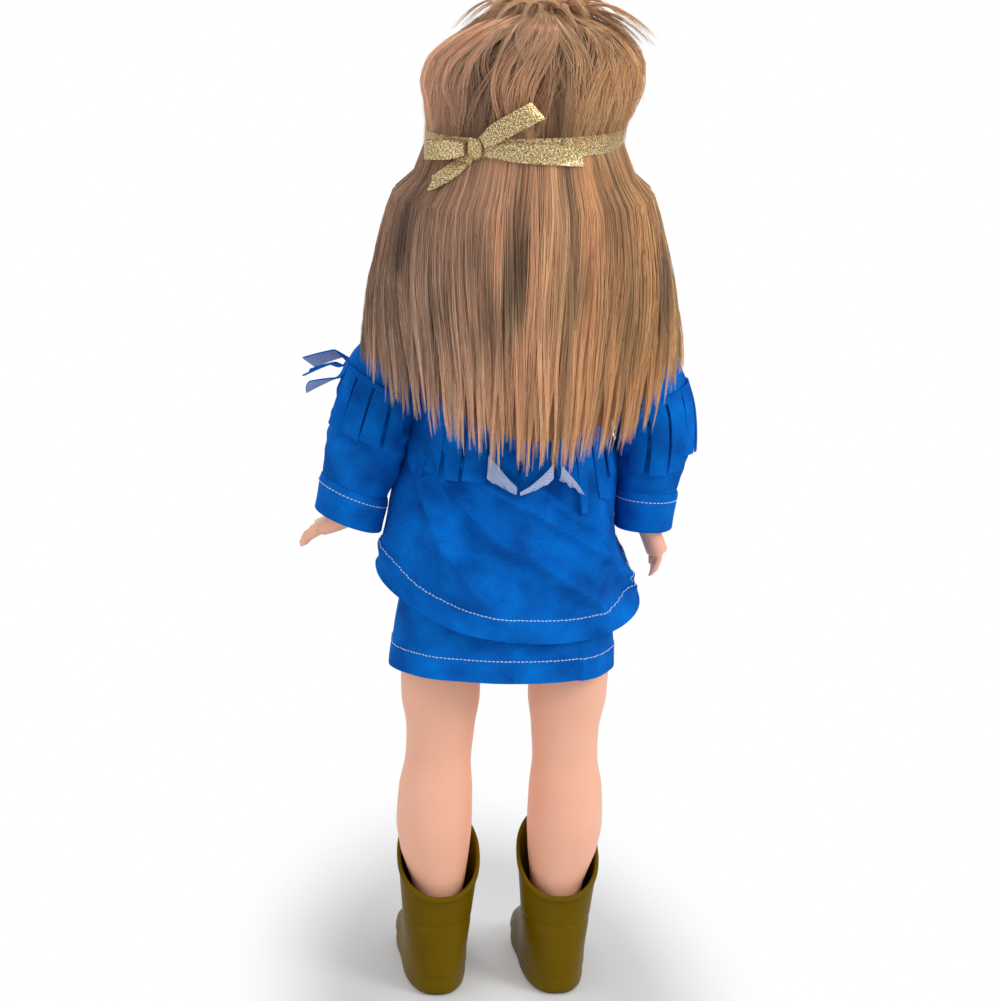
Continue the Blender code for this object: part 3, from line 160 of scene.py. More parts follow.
def clothSheet(name, rows, closed=False, kept=None, outside=None):
    # a sheet through a grid of points, with its own weave coordinates in metres
    bm = bmesh.new()
    weave = bm.loops.layers.uv.new("weave")
    count = len(rows[0])
    columns = count if closed else count - 1
    centre = rows[len(rows) // 2]
    us, vs = [0.0], [0.0]
    for c in range(columns):
        us.append(us[-1] + (centre[(c + 1) % count] - centre[c]).length)
    for upper, lower in zip(rows, rows[1:]):
        vs.append(vs[-1] + max((lower[c] - upper[c]).length for c in (0, count // 2, count - 1)))
    cells = [
        (r, c) for r in range(len(rows) - 1) for c in range(columns) if kept is None or kept(r, c)
    ]
    made = {}

    def vert(r, c):
        if (r, c) not in made:
            made[r, c] = bm.verts.new(rows[r][c])
        return made[r, c]

    for r, c in cells:
        n = (c + 1) % count
        face = bm.faces.new((vert(r, c), vert(r, n), vert(r + 1, n), vert(r + 1, c)))
        for loop, (u, v) in zip(face.loops, ((c, r), (c + 1, r), (c + 1, r + 1), (c, r + 1))):
            loop[weave].uv = (us[u], -vs[v])
    if outside is not None:
        r, c = cells[len(cells) // 2]
        face = bm.faces[:][len(cells) // 2]
        face.normal_update()
        if face.normal.dot(outside(r, c)) < 0:
            bmesh.ops.reverse_faces(bm, faces=bm.faces)
    return finishMesh(name, bm, outwards=False)


def applied(obj):
    # the object's mesh with its modifiers in it
    bpy.context.view_layer.update()
    graph = bpy.context.evaluated_depsgraph_get()
    mesh = bpy.data.meshes.new_from_object(
        obj.evaluated_get(graph), preserve_all_data_layers=True, depsgraph=graph
    )
    obj.modifiers.clear()
    obj.data = mesh
    return obj


def thicken(obj, thickness, reverse=False):
    made = obj.modifiers.new("thickness", "SOLIDIFY")
    made.thickness = thickness
    made.offset = -1
    made.use_even_offset = not reverse
    made.thickness_clamp = 0.4
    if reverse:
        made.material_offset = 1
    applied(obj)
    # the cut edges stay crisp
    bm = bmesh.new()
    bm.from_mesh(obj.data)
    for edge in bm.edges:
        if len(edge.link_faces) == 2 and edge.calc_face_angle() > 0.9:
            edge.smooth = False
    bm.to_mesh(obj.data)
    bm.free()
    return obj


def cutWith(obj, tool):
    made = obj.modifiers.new("cut", "BOOLEAN")
    made.operation = "DIFFERENCE"
    made.solver = "EXACT"
    made.object = tool
    applied(obj)
    bpy.data.objects.remove(tool, do_unlink=True)
    obj.data.shade_smooth()
    return obj


def joined(name, objs):
    # several meshes as one, at the origin
    bm = bmesh.new()
    for obj in objs:
        bm.from_mesh(obj.data)
    mesh = bpy.data.meshes.new(name)
    bm.to_mesh(mesh)
    bm.free()
    mesh.shade_smooth()
    for obj in objs:
        bpy.data.objects.remove(obj, do_unlink=True)
    return link(name, mesh)


def dress(obj, material, body=None, stands=()):
    obj.data.materials.clear()
    obj.data.materials.append(material)
    if body:
        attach(obj, body)
    if stands:
        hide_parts(*stands)
    return obj


# Node trees

def addNode(tree, kind, inputs=None, **settings):
    node = tree.nodes.new(kind)
    for key, value in settings.items():
        setattr(node, key, value)
    for key, value in (inputs or {}).items():
        if isinstance(value, bpy.types.NodeSocket):
            tree.links.new(value, node.inputs[key])
        else:
            node.inputs[key].default_value = value
    return node


def calc(tree, operation, first, second=0.0, third=0.0):
    kind = "ShaderNodeMath"
    return addNode(tree, kind, {0: first, 1: second, 2: third}, operation=operation).outputs[0]


def vectorCalc(tree, operation, first, second=(0, 0, 0), scale=1.0):
    node = addNode(tree, "ShaderNodeVectorMath", {0: first}, operation=operation)
    if operation == "SCALE":
        if isinstance(scale, bpy.types.NodeSocket):
            tree.links.new(scale, node.inputs["Scale"])
        else:
            node.inputs["Scale"].default_value = scale
    elif isinstance(second, bpy.types.NodeSocket):
        tree.links.new(second, node.inputs[1])
    else:
        node.inputs[1].default_value = second
    return node.outputs[0]


def newMaterial(name, roughness=0.5, metallic=0.0):
    material = bpy.data.materials.new(name)
    material.use_nodes = True
    tree = material.node_tree
    shader = tree.nodes["Principled BSDF"]
    shader.inputs["Roughness"].default_value = roughness
    shader.inputs["Metallic"].default_value = metallic
    return material, tree, shader


def colourMix(tree, share, first, second, blend="MIX"):
    node = tree.nodes.new("ShaderNodeMix")
    node.data_type = "RGBA"
    node.blend_type = blend
    for key, value in ((0, share), (6, first), (7, second)):
        if isinstance(value, bpy.types.NodeSocket):
            tree.links.new(value, node.inputs[key])
        else:
            node.inputs[key].default_value = value if key == 0 else (*value, 1)
    return node.outputs[2]


def ramp(tree, value, stops):
    # a colour ramp with (place, grey) or (place, colour) stops
    node = addNode(tree, "ShaderNodeValToRGB", {0: value})
    line = node.color_ramp
    while len(line.elements) < len(stops):
        line.elements.new(0.5)
    for element, (place, colour) in zip(line.elements, stops):
        element.position = place
        element.color = (colour, colour, colour, 1) if isinstance(colour, float) else (*colour, 1)
    return node.outputs[0]


def bumpInto(tree, shader, height, distance, strength=1.0):
    node = addNode(tree, "ShaderNodeBump", {"Height": height, "Distance": distance, "Strength": strength})
    tree.links.new(node.outputs[0], shader.inputs["Normal"])
    return node


def linear(red, green, blue):
    # a colour as a screen shows it, in the numbers that the shader takes
    def one(c):
        c /= 255
        return c / 12.92 if c <= 0.04045 else ((c + 0.055) / 1.055) ** 2.4
    return one(red), one(green), one(blue)


# Camera, light and floor

view = {"place": (0.1279, 1.2417, 0.5785), "azimuth": 174, "down": 13.15, "roll": 2.0, "focal": 2308}


def buildCamera():
    turn, down, roll = radians(view["azimuth"]), radians(view["down"]), radians(view["roll"])
    back = Vector((sin(turn), -cos(turn), 0))
    forward = -back * cos(down) - upWay * sin(down)
    right = forward.cross(upWay).normalized()
    up = right.cross(forward)
    right, up = right * cos(roll) + up * sin(roll), up * cos(roll) - right * sin(roll)
    camera = bpy.data.objects.new("camera", bpy.data.cameras.new("camera"))
    bpy.context.scene.collection.objects.link(camera)
    camera.matrix_world = Matrix((right, up, -forward)).transposed().to_4x4()
    camera.location = view["place"]
    camera.data.sensor_fit = "HORIZONTAL"
    camera.data.sensor_width = 36
    camera.data.lens = view["focal"] * 36 / 1000
    camera.data.clip_start = 0.01
    bpy.context.scene.camera = camera


studio = {"world": 0.70, "key": 19.0, "side": 3.0, "rim": 3.0, "front": 6.0, "shadowWide": 0.15, "shadowDeep": 0.33}


def areaLight(name, place, aim, size, power):
    lamp = bpy.data.lights.new(name, "AREA")
    lamp.shape = "DISK"
    lamp.size = size
    lamp.energy = power
    obj = bpy.data.objects.new(name, lamp)
    bpy.context.scene.collection.objects.link(obj)
    obj.location = place
    obj.rotation_euler = (Vector(aim) - Vector(place)).to_track_quat("-Z", "Y").to_euler()


def buildStudio():
    world = bpy.data.worlds.new("studio")
    bpy.context.scene.world = world
    world.use_nodes = True
    tree = world.node_tree
    tree.nodes.clear()
    path = addNode(tree, "ShaderNodeLightPath")
    seen = calc(tree, "MAXIMUM", path.outputs["Is Camera Ray"], path.outputs["Is Transmission Ray"])
    light = addNode(tree, "ShaderNodeBackground", {"Color": (0.97, 0.98, 1, 1), "Strength": studio["world"]})
    white = addNode(tree, "ShaderNodeBackground", {"Color": (1, 1, 1, 1), "Strength": 1.0})
    mixed = addNode(tree, "ShaderNodeMixShader", {0: seen, 1: light.outputs[0], 2: white.outputs[0]})
    out = addNode(tree, "ShaderNodeOutputWorld")
    tree.links.new(mixed.outputs[0], out.inputs[0])
    aim = (0, 0, 0.28)
    areaLight("keyLight", (-1.5, 1.2, 1.6), aim, 1.0, studio["key"])
    areaLight("sideLight", (1.7, 0.9, 0.7), aim, 1.2, studio["side"])
    areaLight("topLight", (-0.3, 0.1, 1.9), aim, 1.0, studio["rim"])
    areaLight("frontLight", (0.5, -1.7, 1.1), aim, 1.4, studio["front"])

    bm = bmesh.new()
    bmesh.ops.create_circle(bm, cap_ends=True, radius=4.0, segments=96)
    mesh = bpy.data.meshes.new("floor")
    bm.to_mesh(mesh)
    bm.free()
    floor = link("floor", mesh)
    # the floor keeps its soft cast shadow near the feet and goes over into plain white away from them; its colour adds
    # a painted shadow in a ring around the feet, with painted light between the boots
    material, tree, shader = newMaterial("paleFloor", 0.9)
    shader.inputs["Base Color"].default_value = (0.72, 0.72, 0.72, 1)
    shader.inputs["Specular IOR Level"].default_value = 0.0
    place = addNode(tree, "ShaderNodeTexCoord").outputs["Object"]
    parts = addNode(tree, "ShaderNodeSeparateXYZ", {0: place})
    out = calc(tree, "DIVIDE", calc(tree, "SUBTRACT", parts.outputs[0], base.x), studio["shadowWide"])
    deep = calc(tree, "DIVIDE", calc(tree, "SUBTRACT", parts.outputs[1], 0.02), studio["shadowDeep"])
    away = calc(tree, "ADD", calc(tree, "MULTIPLY", out, out), calc(tree, "MULTIPLY", deep, deep))
    away = calc(tree, "SQRT", away)
    # painted shadow: the base colour is darkest in a ring around the feet and lighter again between the boots, as
    # painted light over the contact shadow
    tree.links.new(ramp(tree, away, ((0.0, 0.90), (0.6, 0.60), (1.0, 0.75))), shader.inputs["Base Color"])
    # painted light: near the feet, camera rays see a small share of white glow that lightens the shade; far from them,
    # only plain white
    far = addNode(tree, "ShaderNodeMapRange", {0: away, 1: 0.45, 2: 1.1, 3: 0.12}, interpolation_type="SMOOTHSTEP")
    path = addNode(tree, "ShaderNodeLightPath")
    plain = addNode(tree, "ShaderNodeEmission", {"Color": (1, 1, 1, 1), "Strength": 1.0})
    mixed = addNode(tree, "ShaderNodeMixShader", {
        0: calc(tree, "MULTIPLY", far.outputs[0], path.outputs["Is Camera Ray"]), 1: shader.outputs[0],
        2: plain.outputs[0]})
    tree.links.new(mixed.outputs[0], tree.nodes["Material Output"].inputs[0])
    floor.data.materials.append(material)
    settings = bpy.context.scene.view_settings
    settings.view_transform = "Standard"


# Finishes

def vinylMaterial():
    material, tree, shader = newMaterial("skinVinyl", 0.46)
    place = addNode(tree, "ShaderNodeTexCoord").outputs["Object"]
    cloud = addNode(tree, "ShaderNodeTexNoise", {"Vector": place, "Scale": 22.0, "Detail": 3.0})
    colour = colourMix(tree, cloud.outputs[0], linear(252, 183, 151), linear(255, 196, 168))
    tree.links.new(colour, shader.inputs["Base Color"])
    shader.inputs["Subsurface Weight"].default_value = 0.22
    shader.inputs["Subsurface Radius"].default_value = (1.0, 0.38, 0.22)
    shader.inputs["Subsurface Scale"].default_value = 0.004
    grain = addNode(tree, "ShaderNodeTexNoise", {"Vector": place, "Scale": 1400.0, "Detail": 2.0})
    bumpInto(tree, shader, grain.outputs[0], 0.00004, 0.5)
    rough = addNode(tree, "ShaderNodeMapRange", {0: cloud.outputs[0], 3: 0.40, 4: 0.52})
    tree.links.new(rough.outputs[0], shader.inputs["Roughness"])
    return material


def denimMaterial(name, deep, light, weft, weftShare=0.16):
    material, tree, shader = newMaterial(name, 0.85)
    weave = addNode(tree, "ShaderNodeUVMap", uv_map="weave").outputs[0]
    wander = addNode(tree, "ShaderNodeTexNoise", {"Vector": weave, "Scale": 350.0, "Detail": 2.0})
    parts = addNode(tree, "ShaderNodeSeparateXYZ", {0: weave})
    u, v = parts.outputs[0], parts.outputs[1]
    slant = calc(tree, "ADD", calc(tree, "MULTIPLY", u, 0.82), calc(tree, "MULTIPLY", v, 0.57))
    turns = calc(tree, "MULTIPLY_ADD", wander.outputs[0], 2.0, calc(tree, "MULTIPLY", slant, 2 * pi / 0.00105))
    ridge = calc(tree, "MULTIPLY_ADD", calc(tree, "SINE", turns), 0.5, 0.5)
    stretch = addNode(tree, "ShaderNodeMapping", {"Vector": weave, "Scale": (2600.0, 500.0, 1.0)})
    yarn = addNode(tree, "ShaderNodeTexNoise", {"Vector": stretch.outputs[0], "Scale": 1.0, "Detail": 2.0})
    cloud = addNode(tree, "ShaderNodeTexNoise", {"Vector": weave, "Scale": 46.0, "Detail": 5.0})
    cloud = addNode(tree, "ShaderNodeMapRange", {0: cloud.outputs[0], 1: 0.3, 2: 0.7})
    body = colourMix(tree, cloud.outputs[0], deep, light)
    thin = calc(tree, "MULTIPLY", yarn.outputs[0], 2 * weftShare)
    thin = calc(tree, "MULTIPLY", calc(tree, "SUBTRACT", 1.0, ridge), thin)
    tree.links.new(colourMix(tree, thin, body, weft), shader.inputs["Base Color"])
    height = calc(tree, "MULTIPLY_ADD", yarn.outputs[0], 0.5, ridge)
    bumpInto(tree, shader, height, 0.00024, 1.0)
    shader.inputs["Specular IOR Level"].default_value = 0.04
    return material


def threadMaterial():
    material, tree, shader = newMaterial("paleThread", 0.7)
    place = addNode(tree, "ShaderNodeTexCoord").outputs["Object"]
    tint = addNode(tree, "ShaderNodeTexNoise", {"Vector": place, "Scale": 160.0})
    tree.links.new(colourMix(tree, tint.outputs[0], linear(176, 200, 232), linear(232, 236, 240)),
                   shader.inputs["Base Color"])
    fine = addNode(tree, "ShaderNodeTexNoise", {"Vector": place, "Scale": 5200.0})
    bumpInto(tree, shader, fine.outputs[0], 0.00006, 0.6)
    return material


def hairMaterial(name, dark, mid, light, roughness=0.42):
    material, tree, shader = newMaterial(name, roughness)
    tint = addNode(tree, "ShaderNodeAttribute", attribute_name="tint").outputs["Fac"]
    along = addNode(tree, "ShaderNodeAttribute", attribute_name="along").outputs["Fac"]
    # the tone attribute carries each lock's own tone together with painted light and shade
    toneAndShade = addNode(tree, "ShaderNodeAttribute", attribute_name="toneAndShade").outputs["Fac"]
    fibre = colourMix(tree, tint, dark, light)
    fibre = colourMix(tree, 0.30, fibre, mid)
    ends = calc(tree, "MULTIPLY", calc(tree, "POWER", along, 2.5), 0.35)
    fibre = colourMix(tree, ends, fibre, light)
    # painted light and shade: browner on the doll's left, in shade, and more golden on its right, where the key light
    # falls
    place = addNode(tree, "ShaderNodeTexCoord").outputs["Object"]
    parts = addNode(tree, "ShaderNodeSeparateXYZ", {0: place})
    across = addNode(tree, "ShaderNodeMapRange", {0: parts.outputs[0], 1: -0.065, 2: 0.045})
    paintedLightTinge = colourMix(tree, across.outputs[0], (0.98, 0.92, 0.70), (0.94, 0.98, 1.20))
    fibre = colourMix(tree, 1.0, fibre, paintedLightTinge, "MULTIPLY")
    shaded = colourMix(tree, 1.0, fibre, toneAndShade, "MULTIPLY")
    tree.links.new(shaded, shader.inputs["Base Color"])
    shader.inputs["Specular IOR Level"].default_value = 0.55
    shader.inputs["Sheen Weight"].default_value = 0.08
    return material


def hairBedMaterial(name, dark, light):
    # the hair under the top strands, streaked down its fall, in darker colours that paint the shade under and between
    # the locks
    material, tree, shader = newMaterial(name, 0.6)
    weave = addNode(tree, "ShaderNodeUVMap", uv_map="weave").outputs[0]
    stretch = addNode(tree, "ShaderNodeMapping", {"Vector": weave, "Scale": (1800.0, 22.0, 1.0)})
    fibres = addNode(tree, "ShaderNodeTexNoise", {"Vector": stretch.outputs[0], "Scale": 1.0, "Detail": 4.0})
    tree.links.new(colourMix(tree, fibres.outputs[0], dark, light), shader.inputs["Base Color"])
    bumpInto(tree, shader, fibres.outputs[0], 0.0006, 0.9)
    return material


def ribbonMaterial():
    # a plain weave of pale gold metal strips with bright and dark specks
    material, tree, shader = newMaterial("goldLurex", 0.36, 0.75)
    weave = addNode(tree, "ShaderNodeUVMap", uv_map="weave").outputs[0]
    parts = addNode(tree, "ShaderNodeSeparateXYZ", {0: weave})
    across = calc(tree, "SINE", calc(tree, "MULTIPLY", parts.outputs[0], 2 * pi / 0.0017))
    down = calc(tree, "SINE", calc(tree, "MULTIPLY", parts.outputs[1], 2 * pi / 0.0013))
    check = calc(tree, "MULTIPLY", across, down)
    speck = addNode(tree, "ShaderNodeTexVoronoi", {"Vector": weave, "Scale": 800.0})
    grain = addNode(tree, "ShaderNodeTexNoise", {"Vector": weave, "Scale": 980.0, "Detail": 3.0}).outputs[0]
    grain = calc(tree, "MULTIPLY_ADD", check, 0.10, grain)
    golds = ((0.34, linear(96, 70, 36)), (0.46, linear(196, 160, 84)), (0.56, linear(226, 204, 150)),
             (0.68, linear(252, 248, 238)))
    tree.links.new(ramp(tree, grain, golds), shader.inputs["Base Color"])
    rough = addNode(tree, "ShaderNodeMapRange", {0: speck.outputs["Color"], 3: 0.22, 4: 0.5})
    tree.links.new(rough.outputs[0], shader.inputs["Roughness"])
    bumpInto(tree, shader, grain, 0.0003, 0.9)
    return material


def bootMaterial():
    material, tree, shader = newMaterial("olivePvc", 0.34)
    place = addNode(tree, "ShaderNodeTexCoord").outputs["Object"]
    cloud = addNode(tree, "ShaderNodeTexNoise", {"Vector": place, "Scale": 30.0, "Detail": 3.0})
    tree.links.new(colourMix(tree, cloud.outputs[0], linear(98, 76, 0), linear(118, 94, 0)),
                   shader.inputs["Base Color"])
    rough = addNode(tree, "ShaderNodeMapRange", {0: cloud.outputs[0], 3: 0.28, 4: 0.44})
    tree.links.new(rough.outputs[0], shader.inputs["Roughness"])
    soft = addNode(tree, "ShaderNodeTexNoise", {"Vector": place, "Scale": 260.0, "Detail": 2.0})
    bumpInto(tree, shader, soft.outputs[0], 0.00012, 0.5)
    shader.inputs["Specular IOR Level"].default_value = 0.07
    return material


def steelMaterial():
    material, tree, shader = newMaterial("satinSteel", 0.3, 1.0)
    place = addNode(tree, "ShaderNodeTexCoord").outputs["Object"]
    fine = addNode(tree, "ShaderNodeTexNoise", {"Vector": place, "Scale": 900.0, "Detail": 2.0})
    tree.links.new(colourMix(tree, fine.outputs[0], linear(176, 178, 182), linear(206, 208, 212)),
                   shader.inputs["Base Color"])
    rough = addNode(tree, "ShaderNodeMapRange", {0: fine.outputs[0], 3: 0.24, 4: 0.4})
    tree.links.new(rough.outputs[0], shader.inputs["Roughness"])
    return material


def cottonMaterial():
    material, tree, shader = newMaterial("whiteKnit", 0.9)
    place = addNode(tree, "ShaderNodeTexCoord").outputs["Object"]
    wales = addNode(tree, "ShaderNodeTexVoronoi", {"Vector": place, "Scale": 1300.0})
    tree.links.new(colourMix(tree, wales.outputs["Distance"], linear(246, 245, 242), linear(222, 222, 222)),
                   shader.inputs["Base Color"])
    bumpInto(tree, shader, wales.outputs["Distance"], 0.0002, 0.8)
    return material


def lashMaterial():
    material, tree, shader = newMaterial("darkLash", 0.6)
    place = addNode(tree, "ShaderNodeTexCoord").outputs["Object"]
    fine = addNode(tree, "ShaderNodeTexNoise", {"Vector": place, "Scale": 900.0})
    tree.links.new(colourMix(tree, fine.outputs[0], linear(34, 22, 16), linear(66, 44, 32)),
                   shader.inputs["Base Color"])
    return material


finishes = {}


def mixFinishes():
    finishes["vinyl"] = vinylMaterial()
    finishes["denim"] = denimMaterial("brightDenim", linear(0, 66, 158), linear(0, 116, 222),
                                      linear(40, 152, 236), 0.20)
    finishes["reverse"] = denimMaterial("denimReverse", linear(168, 188, 228), linear(206, 212, 238),
                                        linear(70, 126, 208), 0.3)
    finishes["thread"] = threadMaterial()
    finishes["hair"] = hairMaterial("hairFibre", linear(206, 142, 100), linear(248, 188, 140),
                                    linear(255, 216, 170))
    # the hair bed's dark colours are painted shade under the strands
    finishes["hairBed"] = hairBedMaterial("hairBed", linear(100, 66, 44), linear(196, 142, 104))
    finishes["ribbon"] = ribbonMaterial()
    finishes["boot"] = bootMaterial()
    finishes["steel"] = steelMaterial()
    finishes["cotton"] = cottonMaterial()
    finishes["lash"] = lashMaterial()


# Body

torso = {
    "hipHeight": 0.2245, "pelvisDrop": 0.022, "length": 0.140, "shoulderRise": 0.026,
    "halfWidth": 0.050, "front": 0.034, "back": 0.036, "neckLength": 0.0130,
    "shoulderOut": 0.0452, "hipOut": 0.0137,
    "rows": (
        (0.00, 0.36, 0.45, 0.50), (0.03, 0.62, 0.70, 0.78), (0.12, 0.92, 0.92, 0.98), (0.23, 1.00, 0.97, 1.00),
        (0.35, 0.91, 0.91, 0.84), (0.47, 0.75, 0.79, 0.67), (0.61, 0.81, 0.88, 0.72), (0.74, 0.90, 1.00, 0.80),
        (0.86, 0.92, 0.94, 0.80), (0.93, 0.89, 0.76, 0.68), (0.97, 0.66, 0.58, 0.55), (1.00, 0.36, 0.50, 0.48),
    ),
}
pelvisBottom = torso["hipHeight"] - torso["pelvisDrop"]
shoulderHeight = torso["hipHeight"] + torso["length"]
neckBase = shoulderHeight + torso["shoulderRise"]
headBottom = neckBase + torso["neckLength"] + 0.0004


def torsoSection(height, inset=0.0):
    width, front, back = between(torso["rows"], (height - pelvisBottom) / (neckBase - pelvisBottom))
    return torso["halfWidth"] * width - inset, torso["front"] * front - inset, torso["back"] * back - inset


boot = {
    "halfWidth": 0.0232, "out": 0.0345, "footLength": 0.092, "height": 0.0785, "wall": 0.0014, "insole": 0.0050,
    "rimSlope": 0.78, "ease": 0.0012, "toeBreadth": 0.24,
    "rows": (
        (0.000, 0.75, 0.485, 0.485, -0.230, 0.00), (0.050, 0.80, 0.505, 0.512, -0.230, 0.00),
        (0.150, 0.80, 0.505, 0.515, -0.228, 0.00), (0.165, 0.82, 0.510, 0.522, -0.228, 0.00),
        (0.250, 0.81, 0.475, 0.494, -0.196, 0.00), (0.360, 0.82, 0.392, 0.406, -0.120, 0.00),
        (0.470, 0.84, 0.318, 0.318, -0.044, 0.00), (0.580, 0.87, 0.276, 0.266, -0.005, 0.00),
        (0.690, 0.905, 0.264, 0.257, 0.000, 0.19), (0.790, 0.94, 0.262, 0.257, 0.000, 0.45),
        (0.890, 0.97, 0.263, 0.261, 0.000, 0.72), (1.000, 1.00, 0.265, 0.265, 0.000, 1.00),
    ),
    "footRows": ((0.80, 4.2), (0.64, 4.6), (0.47, 4.0), (0.36, 2.6), (0.25, 1.8), (0.15, 1.3), (0.10, 1.3)),
}


def bootRing(share, side, inset=0.0, sides=72):
    width, front, back, middle, slope = between(boot["rows"], share)
    long = boot["footLength"]
    sizes = (boot["halfWidth"] * width - inset, long * front - inset, long * back - inset)
    power = 2.5 - 0.3 * smooth(0.42, 0.58, share)
    ring = levelRing(boot["height"] * share, sizes, sides, power, long * middle, boot["out"],
                     boot["rimSlope"] * slope, side)
    # the foot is broader over the toes than at the heel
    for point in ring:
        toes = smooth(0.0, 0.75, (long * middle - point.y) / (long * front)) * (1 - smooth(0.26, 0.50, share))
        point.x = side * boot["out"] + (point.x - side * boot["out"]) * (1 + boot["toeBreadth"] * toes)
    return ring


def buildBoot(side, word):
    crease = 0.0007
    outside = []
    for share in ([0.0, 0.012, 0.03, 0.06, 0.10, 0.14, 0.149, 0.157, 0.166, 0.18] + steps(0.20, 0.50, 12)
                  + steps(0.51, 0.57, 5) + steps(0.60, 0.90, 8) + [0.925, 0.938, 0.95, 0.97, 0.99, 1.0]):
        dent = crease * exp(-((share - 0.535) / 0.014) ** 2)
        dent -= 0.0009 * smooth(0.925, 0.95, share) * (1 - 0.6 * smooth(0.985, 1.0, share))
        dent += 0.0009 * max(0, 1 - share / 0.03) ** 2
        outside.append(bootRing(share, side, dent))
    inside = [bootRing(1.0, side, 0.55 * boot["wall"])]
    inside += [bootRing(share, side, boot["wall"]) for share in
               (0.985, 0.95, 0.9, 0.84, 0.76, 0.68, 0.60, 0.52, 0.44, 0.36, 0.28, 0.20, 0.15)]
    inside.append(bootRing(boot["insole"] / boot["height"], side, boot["wall"]))
    name = "pvcBoot" + word
    obj = loft(name, outside + inside)
    dress(obj, finishes["boot"], "leg_" + word.lower(), ["boot_" + word.lower()])


leg = {
    "hipRadius": 0.0260, "halfWidth": 0.0226, "depth": 0.0240, "sides": 64,
    "rows": (
        (0.36, 0.870, 0.69, 0.90, 1.020), (0.44, 0.955, 0.73, 1.00, 1.058), (0.53, 0.925, 0.77, 0.92, 1.044),
        (0.615, 0.825, 0.79, 0.75, 1.000), (0.69, 0.855, 0.83, 0.81, 0.970), (0.78, 0.985, 0.96, 0.94, 0.990),
        (0.88, 1.000, 1.00, 1.00, 1.010),
    ),
    "fan": (
        (0, 0.00, 2.00, 1.00), (9, 0.02, 2.00, 0.99), (26, 0.04, 2.08, 0.97), (46, 0.06, 2.05, 0.95),
        (68, 0.07, 1.86, 0.93),
    ),
}


def fanRings(side, pivotOut, pivotHeight, rows, size, turns, sides):
    rings = []
    for turn in turns:
        start, end, broad = between(rows, turn)
        reach, angle = (start + end) / 2 * size, radians(turn)
        rings.append(tiltedRing(side, pivotOut + reach * sin(angle), 0, pivotHeight + reach * cos(angle),
                                angle, (end - start) / 2 * size, broad * size, sides))
    return rings


def plugRings(side, seatOut, height, sides):
    spots = ((-0.0050, 0.0104), (-0.0026, 0.0104), (-0.0026, 0.0081), (0, 0.0081))
    return [tiltedRing(side, seatOut + x, 0, height, 0, r, r, sides) for x, r in spots]


def footRing(share, side, ease):
    width, front, back, middle, _ = between(boot["rows"], share)
    long, wall = boot["footLength"], boot["wall"]
    sizes = (boot["halfWidth"] * width - wall - ease, long * front - wall - ease, long * back - wall - ease)
    return levelRing(boot["height"] * share, sizes, leg["sides"], 2.2, long * middle, boot["out"], 0, side)


def buildLeg(side, word):
    sides, hip = leg["sides"], leg["hipRadius"]
    rings = plugRings(side, torso["hipOut"], torso["hipHeight"], sides)
    rings += fanRings(side, torso["hipOut"], torso["hipHeight"] - hip, leg["fan"], hip,
                      (0, 2, 5, 9, 13, 18, 24, 30, 37, 45, 52, 60, 68), sides)
    for height in steps(torso["hipHeight"] * leg["rows"][-1][0], torso["hipHeight"] * leg["rows"][0][0], 46):
        width, front, back, out = between(leg["rows"], height / torso["hipHeight"])
        sizes = (leg["halfWidth"] * width, leg["depth"] * front, leg["depth"] * back)
        rings.append(levelRing(height, sizes, sides, 2.1, 0, torso["hipOut"] + out * leg["halfWidth"], 0, side))
    for share in steps(boot["footRows"][0][0], boot["footRows"][-1][0], 22):
        (ease,) = between([(-row[0], row[1]) for row in boot["footRows"]], -share)
        rings.append(footRing(share, side, ease * boot["ease"]))
    rings.append(footRing((boot["insole"] + 0.0003) / boot["height"], side, 2 * boot["ease"]))
    obj = loft("vinylLeg" + word, rings)
    dress(obj, finishes["vinyl"], "leg_" + word.lower(), ["leg_" + word.lower()])


arm = {
    "radius": 0.0150, "length": 0.130, "sides": 48, "fingerRadius": 0.0024,
    "left": (
        (0.205, 0.000, 0.170, 0.73, 0.81, 0.83), (0.240, -0.015, 0.275, 0.755, 0.75, 0.77),
        (0.270, -0.020, 0.375, 0.78, 0.71, 0.73), (0.298, -0.008, 0.475, 0.79, 0.69, 0.71),
        (0.325, 0.023, 0.575, 0.77, 0.65, 0.68), (0.350, 0.046, 0.660, 0.71, 0.56, 0.61),
        (0.373, 0.062, 0.700, 0.64, 0.46, 0.54), (0.405, 0.085, 0.725, 0.50, 0.38, 0.60),
        (0.440, 0.110, 0.745, 0.45, 0.34, 0.64), (0.472, 0.130, 0.763, 0.45, 0.31, 0.60),
        (0.505, 0.148, 0.782, 0.45, 0.27, 0.53), (0.530, 0.160, 0.798, 0.45, 0.17, 0.38),
    ),
    "right": (
        (0.205, 0.000, 0.170, 0.73, 0.81, 0.83), (0.232, -0.015, 0.275, 0.80, 0.75, 0.77),
        (0.247, -0.020, 0.375, 0.89, 0.71, 0.73), (0.249, -0.008, 0.475, 0.97, 0.69, 0.71),
        (0.246, 0.015, 0.575, 1.00, 0.65, 0.68), (0.250, 0.031, 0.665, 0.96, 0.56, 0.61),
        (0.260, 0.042, 0.715, 0.90, 0.46, 0.54), (0.278, 0.055, 0.762, 0.84, 0.40, 0.60),
        (0.298, 0.070, 0.808, 0.80, 0.40, 0.64), (0.314, 0.082, 0.845, 0.80, 0.40, 0.60),
        (0.328, 0.092, 0.878, 0.80, 0.34, 0.53), (0.338, 0.100, 0.902, 0.80, 0.22, 0.38),
    ),
}


